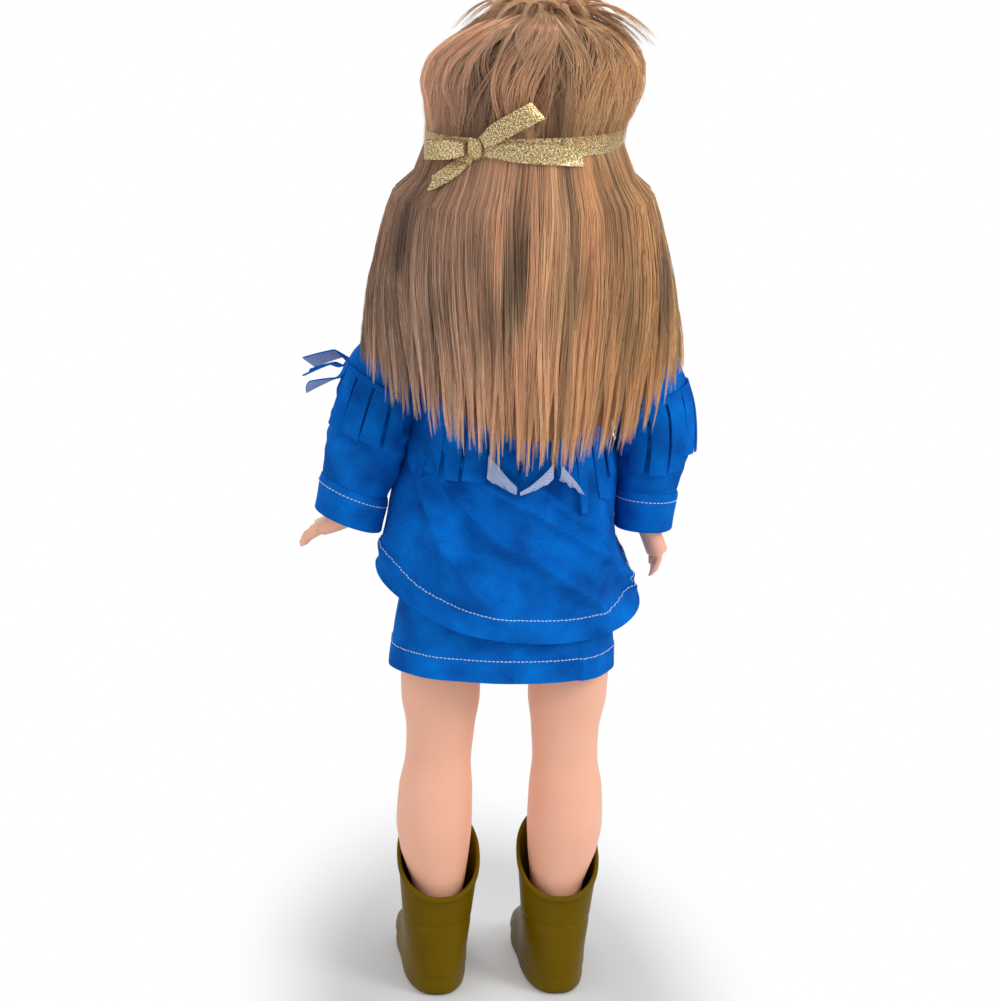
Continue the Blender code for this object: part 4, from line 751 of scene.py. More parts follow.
def tube(name, points, radii, sides=14):
    # a round-ended tube along points
    rings = []
    for k, (point, radius) in enumerate(zip(points, radii)):
        way = (points[min(k + 1, len(points) - 1)] - points[max(k - 1, 0)]).normalized()
        first = way.cross(backWay).normalized()
        second = way.cross(first)
        rings.append([point + (first * cos(2 * pi * s / sides) + second * sin(2 * pi * s / sides)) * radius
                      for s in range(sides)])
    return loft(name, rings)


def roundEnds(start, way, length, radius, curl, count=9):
    # points and radii of a finger that curls a little
    points, radii = [], []
    for share in steps(0, 1, count):
        bent = curl * share * share
        points.append(start + way * length * share + bent)
        tip = smooth(1.0, 0.72, share)
        radii.append(radius * (0.96 + 0.06 * sin(share * 9)) * (0.35 + 0.65 * tip))
    return points, radii


def buildArm(side, word, rows):
    sides, radius, long = arm["sides"], arm["radius"], arm["length"]
    start = torso["shoulderOut"]
    rings = plugRings(side, start, shoulderHeight, sides)
    neat = 0.06 * radius
    rings.append(tiltedRing(side, start, 0, shoulderHeight, 0, radius - neat, radius - neat, sides))
    rings.append(tiltedRing(side, start + neat, 0, shoulderHeight, 0, radius, radius, sides))
    fan = ((0, 0.00, 2.00, 0.99), (28, 0.05, 2.00, 0.97), (52, 0.09, 1.90, 0.93))
    rings += fanRings(side, start + 0.5 * radius, shoulderHeight - radius, fan, radius,
                      (4, 10, 17, 24, 31, 38, 45, 52), sides)
    table = [(k, *row) for k, row in enumerate(rows)]
    for at in steps(0, len(rows) - 3.2, 40):
        out, ahead, down, turn, thick, broad = between(table, at)
        rings.append(tiltedRing(side, start + out * long, -ahead * long, shoulderHeight - down * long,
                                turn * pi / 2, thick * radius, broad * radius, sides, 2.1))
    limb = loft("limb", rings)
    wrist, knuckle = rows[-6], rows[-3]

    def centre(row):
        return Vector((side * (start + row[0] * long), -row[1] * long, shoulderHeight - row[2] * long))

    way = (centre(knuckle) - centre(wrist)).normalized()
    palmFlat = way.cross(backWay).normalized() * side
    spread = way.cross(palmFlat).normalized()
    if spread.y > 0:
        spread = -spread
    parts = [limb]
    knuckles = centre(knuckle)
    lengths = (0.0135, 0.0150, 0.0142, 0.0118)
    for k, length in enumerate(lengths):
        offset = (k - 1.5) * 0.00445
        at = knuckles - spread * offset - way * (0.0035 + 0.0008 * abs(k - 1))
        lean = (way - spread * (k - 1.5) * 0.055).normalized()
        points, radii = roundEnds(at, lean, length + (0.004 if side > 0 else 0.001),
                                  arm["fingerRadius"] * (0.94 if k == 3 else 1.0),
                                  palmFlat * (-0.0022 if side > 0 else -0.0060) * (1 + 0.2 * k))
        parts.append(tube("finger", points, radii))
    thumbStart = centre(wrist) + way * 0.006 + spread * 0.005
    lean = (way + spread * 0.85).normalized()
    points, radii = roundEnds(thumbStart, lean, 0.0135, arm["fingerRadius"] * 1.12, way * 0.0015)
    parts.append(tube("thumb", points, radii))
    obj = joined("vinylArm" + word, parts)
    made = obj.modifiers.new("flesh", "REMESH")
    made.mode = "VOXEL"
    made.voxel_size = 0.00062
    made.adaptivity = 0
    made = obj.modifiers.new("soften", "SMOOTH")
    made.factor = 0.5
    made.iterations = 5
    applied(obj).data.shade_smooth()
    dress(obj, finishes["vinyl"], "arm_" + word.lower(), ["arm_" + word.lower()])


# Head

head = {
    "height": 0.1326, "halfWidth": 0.0432, "front": 0.0415, "back": 0.0500, "wall": 0.0026, "floor": 0.0030,
    "eyeOut": 0.0170, "eyeShare": 0.478, "eyeDepth": 0.0252, "eyeRadius": 0.0092, "eyeHalfWidth": 0.0074,
    "eyeRise": 0.0053, "eyeDrop": 0.0045,
    "rows": (
        (0.00, 0.50, 0.50, 0.46), (0.02, 0.53, 0.53, 0.50), (0.05, 0.60, 0.72, 0.53), (0.09, 0.68, 0.94, 0.61),
        (0.14, 0.78, 1.00, 0.72), (0.20, 0.87, 1.00, 0.82), (0.28, 0.94, 0.99, 0.90), (0.37, 0.98, 0.98, 0.96),
        (0.46, 0.99, 0.98, 0.98), (0.55, 1.00, 1.00, 1.00), (0.66, 0.99, 1.03, 1.00), (0.76, 0.95, 1.01, 0.96),
        (0.85, 0.85, 0.89, 0.86), (0.925, 0.66, 0.68, 0.68), (0.975, 0.40, 0.41, 0.44), (1.00, 0.12, 0.13, 0.16),
    ),
    # sideways place, height, sideways spread, upright spread and push
    "face": (
        (0.00, 0.375, 0.10, 0.030, 0.150), (0.00, 0.430, 0.08, 0.045, 0.060), (0.00, 0.278, 0.17, 0.016, 0.060),
        (0.00, 0.248, 0.13, 0.016, 0.055), (0.00, 0.110, 0.22, 0.050, 0.070), (0.39, 0.478, 0.20, 0.052, -0.085),
        (-0.39, 0.478, 0.20, 0.052, -0.085), (0.50, 0.335, 0.24, 0.080, 0.050), (-0.50, 0.335, 0.24, 0.080, 0.050),
    ),
}
eyeHeight = headBottom + head["eyeShare"] * head["height"]


def headSection(height, inset=0.0):
    width, front, back = between(head["rows"], (height - headBottom) / head["height"])
    return head["halfWidth"] * width - inset, head["front"] * front - inset, head["back"] * back - inset


def headRing(height, sides):
    halfWidth, front, back = headSection(height)
    share = (height - headBottom) / head["height"]
    points = []
    for k in range(sides):
        turn = 2 * pi * k / sides
        angle = turn - 0.5 * sin(turn) - pi / 2
        x = halfWidth * rounded(cos(angle), 2.2)
        y = rounded(sin(angle), 2.2) * (back if sin(angle) > 0 else front)
        if y < 0:
            for out, up, spread, rise, push in head["face"]:
                away = ((x / head["halfWidth"] - out) / spread) ** 2 + ((share - up) / rise) ** 2
                y -= push * head["front"] * exp(-away)
        ear = exp(-(((share - 0.44) / 0.075) ** 2) - ((y / head["back"] - 0.04) / 0.12) ** 2)
        x += copysign(0.06 * head["halfWidth"] * ear, x)
        points.append(Vector((x, y, height)))
    return points


def eyeOutline(out, count=40):
    points = []
    for k in range(count):
        angle = 2 * pi * k / count
        rise = head["eyeRise"] if sin(angle) > 0 else head["eyeDrop"]
        points.append((out + head["eyeHalfWidth"] * rounded(cos(angle), 2.4),
                       eyeHeight + rise * rounded(sin(angle), 2.4)))
    return points


def ball(name, centre, radius, across=48, down=32):
    bm = bmesh.new()
    bmesh.ops.create_uvsphere(bm, u_segments=across, v_segments=down, radius=radius)
    bmesh.ops.rotate(bm, verts=bm.verts, cent=(0, 0, 0), matrix=Matrix.Rotation(pi / 2, 3, "X"))
    bmesh.ops.translate(bm, verts=bm.verts, vec=centre)
    return finishMesh(name, bm)


def buildHead():
    top = headBottom + head["height"]
    heights = steps(headBottom, headBottom + 0.02 * head["height"], 5)
    heights += steps(headBottom + 0.025 * head["height"], headBottom + 0.62 * head["height"], 110)
    heights += steps(headBottom + 0.63 * head["height"], top, 40)
    obj = loft("vinylHead", [headRing(z, 160) for z in heights])
    inner = [levelRing(z, headSection(z + copysign(head["wall"], z - eyeHeight), head["wall"]), 32)
             for z in steps(headBottom + head["floor"], top - 2 * head["wall"], 14)]
    cutWith(obj, loft("hollow", inner))
    hole = [levelRing(z, (0.0140,) * 3, 32, 2) for z in (headBottom - 0.004, headBottom + head["floor"] + 0.004)]
    cutWith(obj, loft("neckHole", hole))
    for side in (1, -1):
        centre = Vector((side * head["eyeOut"], -head["eyeDepth"], eyeHeight))
        cutWith(obj, ball("socket", centre, 0.0105))
        rings = [[Vector((x, y, z)) for x, z in eyeOutline(side * head["eyeOut"])]
                 for y in (-head["eyeDepth"], -head["front"] - 0.004)]
        cutWith(obj, loft("opening", rings))
    dress(obj, finishes["face"], "head", ["head"])


def faceMaterial():
    # the vinyl with painted lips, brows and cheeks
    material = finishes["vinyl"].copy()
    material.name = "paintedFace"
    tree = material.node_tree
    shader = tree.nodes["Principled BSDF"]
    skin = shader.inputs["Base Color"].links[0].from_socket
    place = addNode(tree, "ShaderNodeTexCoord").outputs["Object"]
    parts = addNode(tree, "ShaderNodeSeparateXYZ", {0: place})
    x = calc(tree, "SUBTRACT", parts.outputs[0], base.x)
    out = calc(tree, "ABSOLUTE", x)
    z = parts.outputs[2]
    front = calc(tree, "LESS_THAN", parts.outputs[1], base.y - 0.012)

    def spot(atOut, height, width, rise, start, end):
        across = calc(tree, "DIVIDE", calc(tree, "SUBTRACT", out, atOut), width)
        up = calc(tree, "DIVIDE", calc(tree, "SUBTRACT", z, height), rise)
        away = calc(tree, "ADD", calc(tree, "POWER", calc(tree, "ABSOLUTE", across), 2.0),
                    calc(tree, "POWER", calc(tree, "ABSOLUTE", up), 2.0))
        near = addNode(tree, "ShaderNodeMapRange", {0: away, 1: start, 2: end, 3: 1.0, 4: 0.0},
                       interpolation_type="SMOOTHSTEP")
        return calc(tree, "MULTIPLY", near.outputs[0], front)

    high = head["height"]
    blush = calc(tree, "MULTIPLY", spot(0.026, headBottom + 0.33 * high, 0.014, 0.011, 0.0, 1.0), 0.38)
    skin = colourMix(tree, blush, skin, linear(232, 112, 96))
    # the brow is an arch whose height follows its distance from the middle
    arch = calc(tree, "MULTIPLY", calc(tree, "POWER", calc(tree, "DIVIDE",
                calc(tree, "ABSOLUTE", calc(tree, "SUBTRACT", out, 0.0172)), 0.0085), 2.0), -0.0017)
    browZ = calc(tree, "ADD", arch, headBottom + 0.592 * high)
    up = calc(tree, "DIVIDE", calc(tree, "ABSOLUTE", calc(tree, "SUBTRACT", z, browZ)), 0.0008)
    across = calc(tree, "POWER", calc(tree, "DIVIDE", calc(tree, "ABSOLUTE", calc(tree, "SUBTRACT", out, 0.0172)),
                                      0.0088), 4.0)
    brow = addNode(tree, "ShaderNodeMapRange", {0: calc(tree, "ADD", up, across), 1: 0.6, 2: 1.15, 3: 0.75, 4: 0.0})
    skin = colourMix(tree, calc(tree, "MULTIPLY", brow.outputs[0], front), skin, linear(128, 84, 56))
    # two lips that meet on a line with a small dip in the middle
    lipLine = headBottom + 0.263 * high
    half = 0.0088
    share = calc(tree, "DIVIDE", out, half)
    squared = calc(tree, "POWER", share, 2.0)
    taper = calc(tree, "SQRT", calc(tree, "MAXIMUM", calc(tree, "SUBTRACT", 1.0, squared), 0.0))
    dip = calc(tree, "MULTIPLY", calc(tree, "EXPONENT", calc(tree, "MULTIPLY", squared, -22.0)), 0.0006)
    over = calc(tree, "SUBTRACT", calc(tree, "MULTIPLY", taper, 0.0027), dip)
    under = calc(tree, "MULTIPLY", taper, -0.0033)
    fromLine = calc(tree, "SUBTRACT", z, lipLine)
    below = addNode(tree, "ShaderNodeMapRange", {0: calc(tree, "SUBTRACT", over, fromLine), 1: -0.0001, 2: 0.0004})
    above = addNode(tree, "ShaderNodeMapRange", {0: calc(tree, "SUBTRACT", fromLine, under), 1: -0.0001, 2: 0.0004})
    lips = calc(tree, "MULTIPLY", calc(tree, "MULTIPLY", below.outputs[0], above.outputs[0]), front)
    seam = addNode(tree, "ShaderNodeMapRange", {
        0: calc(tree, "ABSOLUTE", fromLine), 1: 0.0, 2: 0.0007, 3: 0.55, 4: 0.0})
    lipColour = colourMix(tree, seam.outputs[0], linear(206, 78, 84), linear(120, 36, 44))
    skin = colourMix(tree, lips, skin, lipColour)
    tree.links.new(skin, shader.inputs["Base Color"])
    return material


def eyeMaterial():
    material, tree, shader = newMaterial("glossyEye", 0.08)
    place = addNode(tree, "ShaderNodeTexCoord").outputs["Object"]
    parts = addNode(tree, "ShaderNodeSeparateXYZ", {0: place})
    out = calc(tree, "ABSOLUTE", calc(tree, "SUBTRACT", parts.outputs[0], base.x))
    out = calc(tree, "SUBTRACT", out, head["eyeOut"])
    up = calc(tree, "SUBTRACT", parts.outputs[2], eyeHeight + 0.0001)
    away = calc(tree, "SQRT", calc(tree, "ADD", calc(tree, "POWER", calc(tree, "ABSOLUTE", out), 2.0),
                                   calc(tree, "POWER", calc(tree, "ABSOLUTE", up), 2.0)))
    turn = calc(tree, "ARCTAN2", up, out)
    rays = addNode(tree, "ShaderNodeTexNoise", {"Scale": 1.0, "Detail": 2.0, "Vector": addNode(
        tree, "ShaderNodeCombineXYZ", {0: calc(tree, "MULTIPLY", calc(tree, "SINE", turn), 9.0),
                                       1: calc(tree, "MULTIPLY", calc(tree, "COSINE", turn), 9.0),
                                       2: calc(tree, "MULTIPLY", away, 160.0)}).outputs[0]})
    iris = colourMix(tree, rays.outputs[0], linear(28, 62, 120), linear(120, 168, 214))
    edge = addNode(tree, "ShaderNodeMapRange", {0: away, 1: 0.0036, 2: 0.0044})
    iris = colourMix(tree, edge.outputs[0], iris, linear(16, 28, 60))
    white = addNode(tree, "ShaderNodeMapRange", {0: away, 1: 0.0044, 2: 0.0047})
    colour = colourMix(tree, white.outputs[0], iris, linear(240, 238, 234))
    pupil = addNode(tree, "ShaderNodeMapRange", {0: away, 1: 0.0019, 2: 0.0021, 3: 1.0, 4: 0.0})
    colour = colourMix(tree, pupil.outputs[0], colour, (0.004, 0.004, 0.005))
    tree.links.new(colour, shader.inputs["Base Color"])
    shader.inputs["Coat Weight"].default_value = 0.8
    shader.inputs["Coat Roughness"].default_value = 0.04
    return material


def buildEyes():
    finishes["eye"] = eyeMaterial()
    for side, word in ((1, "Left"), (-1, "Right")):
        centre = Vector((side * head["eyeOut"], -head["eyeDepth"], eyeHeight))
        dress(ball("glassEye" + word, centre, head["eyeRadius"]), finishes["eye"], "eyes",
              ["eyeball_" + word.lower()])

        def lidPoint(across, up, radius):
            reach = radius * cos(across)
            return centre + Vector((radius * sin(across), -reach * cos(up), reach * sin(up)))

        ups, acrosses = steps(radians(20), radians(104), 24), steps(radians(-66), radians(66), 30)
        outer = head["eyeRadius"] + 0.0009
        lid = clothSheet("vinylLid" + word, [[lidPoint(a, u, outer) for a in acrosses] for u in ups],
                         outside=lambda r, c: lidPoint(acrosses[c], ups[r], outer) - centre)
        thicken(lid, 0.0006)
        dress(lid, finishes["vinyl"], "eyes", ["eyelid_" + word.lower()])
        hairs = []
        for k, across in enumerate(steps(-0.44, 0.44, 26)):
            lean = across * 0.5
            root = lidPoint(across, radians(20.5), outer - 0.0002)
            way = (root - centre).normalized()
            points = [root + way * 0.0023 * s + Vector((lean * 0.0016 * s, 0, 0.0010 * s * s))
                      for s in steps(0, 1, 5)]
            radii = [0.00016 * (1 - 0.75 * s) for s in steps(0, 1, 5)]
            hairs.append(tube("lash", points, radii, 5))
        dress(joined("lashHairs" + word, hairs), finishes["lash"], "eyes", ["lashes_" + word.lower()])


# Stitches

seams = {"pitch": 0.0023, "length": 0.0019, "radius": 0.00034}


def stitchTree():
    # capsules laid end to end along the paths, a pitch apart
    tree = bpy.data.node_groups.new("rowOfStitches", "GeometryNodeTree")
    sockets = (("Geometry", "NodeSocketGeometry"), ("Pitch", "NodeSocketFloat"), ("Stitch Length", "NodeSocketFloat"),
               ("Thread Radius", "NodeSocketFloat"), ("Thread", "NodeSocketMaterial"))
    for name, kind in sockets:
        tree.interface.new_socket(name, in_out="INPUT", socket_type=kind)
    tree.interface.new_socket("Geometry", in_out="OUTPUT", socket_type="NodeSocketGeometry")
    given = addNode(tree, "NodeGroupInput").outputs
    path = addNode(tree, "GeometryNodeMeshToCurve", {"Mesh": given["Geometry"]})
    spaced = addNode(tree, "GeometryNodeResampleCurve", {"Curve": path.outputs[0], "Length": given["Pitch"]},
                     mode="LENGTH")
    bead = addNode(tree, "GeometryNodeMeshUVSphere", {"Segments": 6, "Rings": 5, "Radius": 1.0})
    half = calc(tree, "MULTIPLY", given["Stitch Length"], 0.5)
    size = addNode(tree, "ShaderNodeCombineXYZ", {0: given["Thread Radius"], 1: given["Thread Radius"], 2: half})
    capsule = addNode(tree, "GeometryNodeTransform", {"Geometry": bead.outputs[0], "Scale": size.outputs[0]})
    tangent = addNode(tree, "GeometryNodeInputTangent")
    turn = addNode(tree, "FunctionNodeAlignRotationToVector", {"Vector": tangent.outputs[0]}, axis="Z")
    placed = addNode(tree, "GeometryNodeInstanceOnPoints", {
        "Points": spaced.outputs[0], "Instance": capsule.outputs[0], "Rotation": turn.outputs[0]})
    real = addNode(tree, "GeometryNodeRealizeInstances", {0: placed.outputs[0]})
    smoothed = addNode(tree, "GeometryNodeSetShadeSmooth", {"Geometry": real.outputs[0]})
    coloured = addNode(tree, "GeometryNodeSetMaterial", {"Geometry": smoothed.outputs[0], "Material": given["Thread"]})
    out = addNode(tree, "NodeGroupOutput")
    tree.links.new(coloured.outputs[0], out.inputs[0])
    return tree


def useTree(obj, tree, values):
    made = obj.modifiers.new("nodes", "NODES")
    made.node_group = tree
    for item in tree.interface.items_tree:
        if item.item_type == "SOCKET" and item.in_out == "INPUT" and item.name in values:
            made[item.identifier] = values[item.name]
    applied(obj)
    return obj


def polylines(name, paths, attributes=None):
    # a mesh of open lines, with a value per point for each named attribute
    verts, edges = [], []
    for path in paths:
        start = len(verts)
        verts += [point + base for point in path]
        edges += [(start + k, start + k + 1) for k in range(len(path) - 1)]
    mesh = bpy.data.meshes.new(name)
    mesh.from_pydata(verts, edges, [])
    for key, values in (attributes or {}).items():
        if isinstance(values[0], Vector):
            layer = mesh.attributes.new(key, "FLOAT_VECTOR", "POINT")
            layer.data.foreach_set("vector", [c for value in values for c in value])
        else:
            layer = mesh.attributes.new(key, "FLOAT", "POINT")
            layer.data.foreach_set("value", values)
    return link(name, mesh)


def sewRow(name, paths, body):
    obj = polylines(name, paths)
    useTree(obj, trees["stitches"], {"Pitch": seams["pitch"], "Stitch Length": seams["length"],
                                     "Thread Radius": seams["radius"], "Thread": finishes["thread"]})
    if body:
        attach(obj, body)
    return obj


trees = {}


# Clothes

cloth = {"thickness": 0.0012, "gap": 0.0003}
skirt = {
    "ease": 0.0145, "hemDrop": 0.0300, "waistShare": 0.4229, "bandWidth": 0.0100, "bandThickness": 0.0020,
    "waistEase": 0.0014, "stitchUp": 0.0125, "lap": 2.13, "pulledIn": 0.075,
    "rows": (
        (0.00, 0.000, 0.00, 0.00), (0.20, 0.095, 0.10, 0.045), (0.42, 0.243, 0.20, 0.12), (0.65, 0.405, 0.35, 0.27),
        (0.85, 0.649, 0.75, 0.66), (1.00, 1.000, 1.00, 1.00),
    ),
}
skirtHem = torso["hipHeight"] - skirt["hemDrop"]
skirtTop = pelvisBottom + skirt["waistShare"] * (neckBase - pelvisBottom)
bandBottom = skirtTop + cloth["gap"]


def skirtSizes(height, inset=0.0):
    top = bandBottom + skirt["bandWidth"]
    ease = skirt["ease"]
    low = (torso["halfWidth"] + ease, torso["front"] + 0.3 * ease, torso["back"] + 0.65 * ease)
    high = torsoSection(top, -skirt["bandThickness"] - skirt["waistEase"])
    gone = between(skirt["rows"], (height - skirtHem) / (top - skirtHem))
    return tuple(a + (b - a) * share - inset for a, b, share in zip(low, high, gone))


def skirtPoint(turn, height, out=0.0):
    # a point of the skirt, round from the doll's left by way of its back
    halfWidth, front, back = skirtSizes(height, -out)
    share = 1 - (height - skirtHem) / (skirtTop - skirtHem)
    k = turn % (2 * pi) / (2 * pi) * 30
    wave = 1 + 0.012 * share * (sin(k * 0.95) + 0.6 * sin(k * 1.7 + 1))
    x = halfWidth * rounded(cos(turn), 2.5) * wave
    x *= 1 if x > 0 else 1 - skirt["pulledIn"] * share
    y = (back if sin(turn) > 0 else front) * rounded(sin(turn), 2.5) * wave
    return Vector((x, y, height))


def skirtOut(turn, height):
    # the turned hem, its puckers, soft unevenness and the edge where the wrap laps over at the back
    up = height - skirtHem
    band = 0.00045 * (1 - smooth(skirt["stitchUp"] - 0.0006, skirt["stitchUp"] + 0.0012, up))
    pucker = 0.00026 * sin(turn * 95) * exp(-((up - skirt["stitchUp"]) / 0.0022) ** 2)
    soft = 0.0012 * bumpy(cos(turn) * 2.4, sin(turn) * 2.4, height * 30) * smooth(0, 0.02, skirtTop - height)
    past = turn - skirt["lap"]
    lap = 0.0020 * smooth(0, 0.02, past) * (1 - smooth(0.15, 0.7, past))
    return band + pucker + soft + lap


def buildSkirt():
    # two halves, left and right, that meet in the middle at the front and back
    heights = steps(skirtTop, skirtHem, 60)
    for side, word in ((1, "Left"), (-1, "Right")):
        turns = steps(-side * pi / 2, pi - side * pi / 2, 96)
        rows = [[skirtPoint(turn, height, skirtOut(turn, height)) for turn in turns] for height in heights]
        obj = clothSheet("denimSkirt" + word, rows, outside=lambda r, c: rows[r][c] * 1)
        thicken(obj, cloth["thickness"])
        dress(obj, finishes["denim"], None, ["skirt"])
        path = [skirtPoint(turn, skirtHem + skirt["stitchUp"], skirtOut(turn, skirtHem + skirt["stitchUp"]))
                for turn in turns]
        stitches = sewRow("skirtHemStitches" + word, [path], None)
        for piece in (obj, stitches):
            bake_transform(piece)
    turns = [2 * pi * k / 180 for k in range(180)]
    band = []
    for out, up in ((0.0, 0.0), (0.0003, 0.0012), (0.0003, 0.005), (0.0003, 0.0088), (0.0, 0.01)):
        band.append([skirtPoint(turn, bandBottom + up, out) for turn in turns])
    obj = clothSheet("denimWaistband", band, closed=True, outside=lambda r, c: band[r][c] * 1)
    thicken(obj, skirt["bandThickness"] - 0.0003)
    dress(obj, finishes["denim"], "torso", ["skirt_waistband"])


jacket = {
    "ease": 0.0125, "hemDrop": 0.0070, "frontHemRise": 0.0295, "flare": 0.0125, "armhole": 0.0196,
    "sideShare": 0.56, "hemBand": 0.0130,
    "rows": (
        (0.00, 0.980, 0.93, 1.00), (0.15, 0.985, 0.92, 1.00), (0.28, 0.955, 0.89, 0.96), (0.42, 0.890, 0.85, 0.88),
        (0.56, 0.840, 0.84, 0.80), (0.70, 0.810, 0.84, 0.755), (0.84, 0.800, 0.77, 0.72), (0.92, 0.785, 0.64, 0.62),
        (0.965, 0.680, 0.52, 0.52), (1.00, 0.350, 0.41, 0.42),
    ),
    "hem": (
        (-1.00, 0.00), (-0.67, 0.00), (-0.53, 0.50), (-0.30, 0.88), (-0.10, 1.00), (0.10, 0.88), (0.30, 0.54),
        (0.52, 0.08), (0.72, 0.04), (1.00, 0.00),
    ),
}
jacketHem = torso["hipHeight"] - jacket["hemDrop"]
jacketFrontHem = torso["hipHeight"] + jacket["frontHemRise"]


def jacketHemAt(across):
    (drop,) = between(jacket["hem"], across)
    return jacketFrontHem + (jacketHem - jacketFrontHem) * drop


def jacketAt(across, height, out=0.0):
    # a point of the jacket, from -1 at the front opening by way of its back to 1
    up = (height - jacketHem) / (neckBase + 0.1 * torso["neckLength"] - jacketHem)
    width, front, back = between(jacket["rows"], up)
    angle = pi / 2 - across * pi
    aboveHem = (height - jacketHemAt(across)) / (jacketFrontHem - jacketHem)
    nearHem = max(0, 1 - aboveHem / 0.9) ** 2
    flare = jacket["flare"] * nearHem * abs(cos(angle)) ** 3 * (1 if across < 0 else 0.95)
    folds = 1 + 0.012 * (1 - min(1, up * 1.3)) * (sin(across * 17) + 0.5 * sin(across * 29 + 2))
    ease = jacket["ease"]
    halfWidth = ((torso["halfWidth"] + ease) * width + flare) * folds + out
    reach = ((torso["back"] + ease) * back if sin(angle) > 0 else (torso["front"] + 0.8 * ease) * front) * folds + out
    return Vector((halfWidth * rounded(cos(angle), 2.4), reach * rounded(sin(angle), 2.4), height))


def jacketFolds(across, height):
    # soft folds that hang from the yoke and from under the arms, and the turned hem
    up = height - jacketHemAt(across)
    free = smooth(shoulderHeight - 0.003, shoulderHeight - 0.038, height)
    lower = height - jacketHem
    folds = 0.0014 * sin(across * 21 + 0.8 + 2.2 * bumpy(across * 3, height * 18)) * free
    folds += 0.0030 * bumpy(across * 5.5, height * 26, 4) * free
    # folds that run slanting down from under the left arm, and the fullness at the sides
    for start, run, wide, deep in ((0.44, 4.6, 0.036, 0.0058), (0.36, 6.8, 0.030, 0.0050), (0.24, 8.5, 0.030, 0.0044),
                                   (0.12, 8.0, 0.026, 0.0026), (-0.30, -1.6, 0.05, 0.0028)):
        place = start - run * max(0, 0.105 - lower)
        folds += deep * exp(-((across - place) / wide) ** 2) * smooth(0.004, 0.03, lower) * smooth(0.115, 0.09, lower)
    for place, deep, middle, tall in ((0.50, 0.0108, 0.068, 0.040), (0.50, 0.0044, 0.112, 0.022),
                                      (-0.50, 0.0048, 0.095, 0.040)):
        folds += deep * exp(-((across - place) / 0.09) ** 2) * exp(-((lower - middle) / tall) ** 2)
    band = jacket["hemBand"]
    turned = 0.0011 * (1 - smooth(band - 0.0006, band + 0.0010, up))
    pucker = 0.0003 * sin(across * 180) * exp(-((up - band) / 0.0024) ** 2)
    return folds * smooth(0.0, 0.012, up) + turned + pucker


def jacketPanel(name, start, end, columns, node):
    acrosses = steps(start, end, columns)
    downs = steps(0, 0.08, 7)[:-1] + steps(0.08, 0.88, 60)[:-1] + steps(0.88, 1.0, 20)

    def point(across, down):
        hem = jacketHemAt(across)
        height = neckBase + (hem - neckBase) * down
        return jacketAt(across, height, jacketFolds(across, height) * (1 if abs(across) < 0.98 else 0.2))

    rows = [[point(a, d) for a in acrosses] for d in downs]
    obj = clothSheet(name, rows, outside=lambda r, c: Vector((rows[r][c].x, rows[r][c].y, 0)))
    thicken(obj, cloth["thickness"])
    for side in (1, -1):
        if start * side >= 0 or end * side > 0:
            far = torso["halfWidth"] + 2 * jacket["ease"]
            rings = [tiltedRing(side, x, 0, shoulderHeight, 0, jacket["armhole"], jacket["armhole"], 48)
                     for x in (0.6 * torso["halfWidth"], far)]
            cutWith(obj, loft("armhole", rings))
    dress(obj, finishes["denim"], "torso", [node])


def buildJacket():
    seam = 0.003
    side = jacket["sideShare"]
    jacketPanel("denimBack", -side + seam, side - seam, 190, "jacket_back")
    jacketPanel("denimFrontRight", -0.9972, -side - seam, 84, "jacket_front_right")
    jacketPanel("denimFrontLeft", side + seam, 0.9972, 84, "jacket_front_left")

    def onPanel(across, height):
        return jacketAt(across, height, jacketFolds(across, height) + 0.0001)

    sewRow("jacketHemStitches", [[onPanel(a, jacketHemAt(a) + jacket["hemBand"]) for a in steps(-0.985, 0.985, 420)]],
           "torso")
    low = jacketHemAt(0.955) + 0.008
    sewRow("placketStitches", [[onPanel(a, z) for z in steps(neckBase - 0.008, low, 60)] for a in (0.955, -0.955)],
           "torso")


collar = {"rise": 0.0065, "fold": 0.0130, "radius": 0.0215}


def buildCollar():
    rows = ((0.00, 0.00), (0.03, 0.50), (0.08, 0.92), (0.16, 1.02), (0.26, 0.98), (0.45, 0.75), (0.70, 0.38),
            (1.00, -0.12))
    table = [(k, *row) for k, row in enumerate(rows)]
    acrosses = steps(-0.93, 0.93, 90)

    def point(across, at):
        out, up = between(table, at)
        angle = pi / 2 - across * pi
        tip = 1 + 0.16 * smooth(0.7, 0.93, abs(across))
        radius = collar["radius"] + out * collar["fold"] * tip
        wave = 0.0004 * bumpy(across * 7, out * 3)
        height = neckBase + cloth["gap"] + up * collar["rise"] + cloth["thickness"] * min(1, at)
        return Vector((radius * cos(angle), 0.96 * radius * sin(angle), height + wave * out))

    grid = [[point(a, at) for a in acrosses] for at in steps(0, len(rows) - 1, 30)]
    obj = clothSheet("denimCollar", grid, outside=lambda r, c: upWay if r > 8 else -grid[r][c])
    thicken(obj, cloth["thickness"])
    dress(obj, finishes["denim"], "torso", ["jacket_collar"])


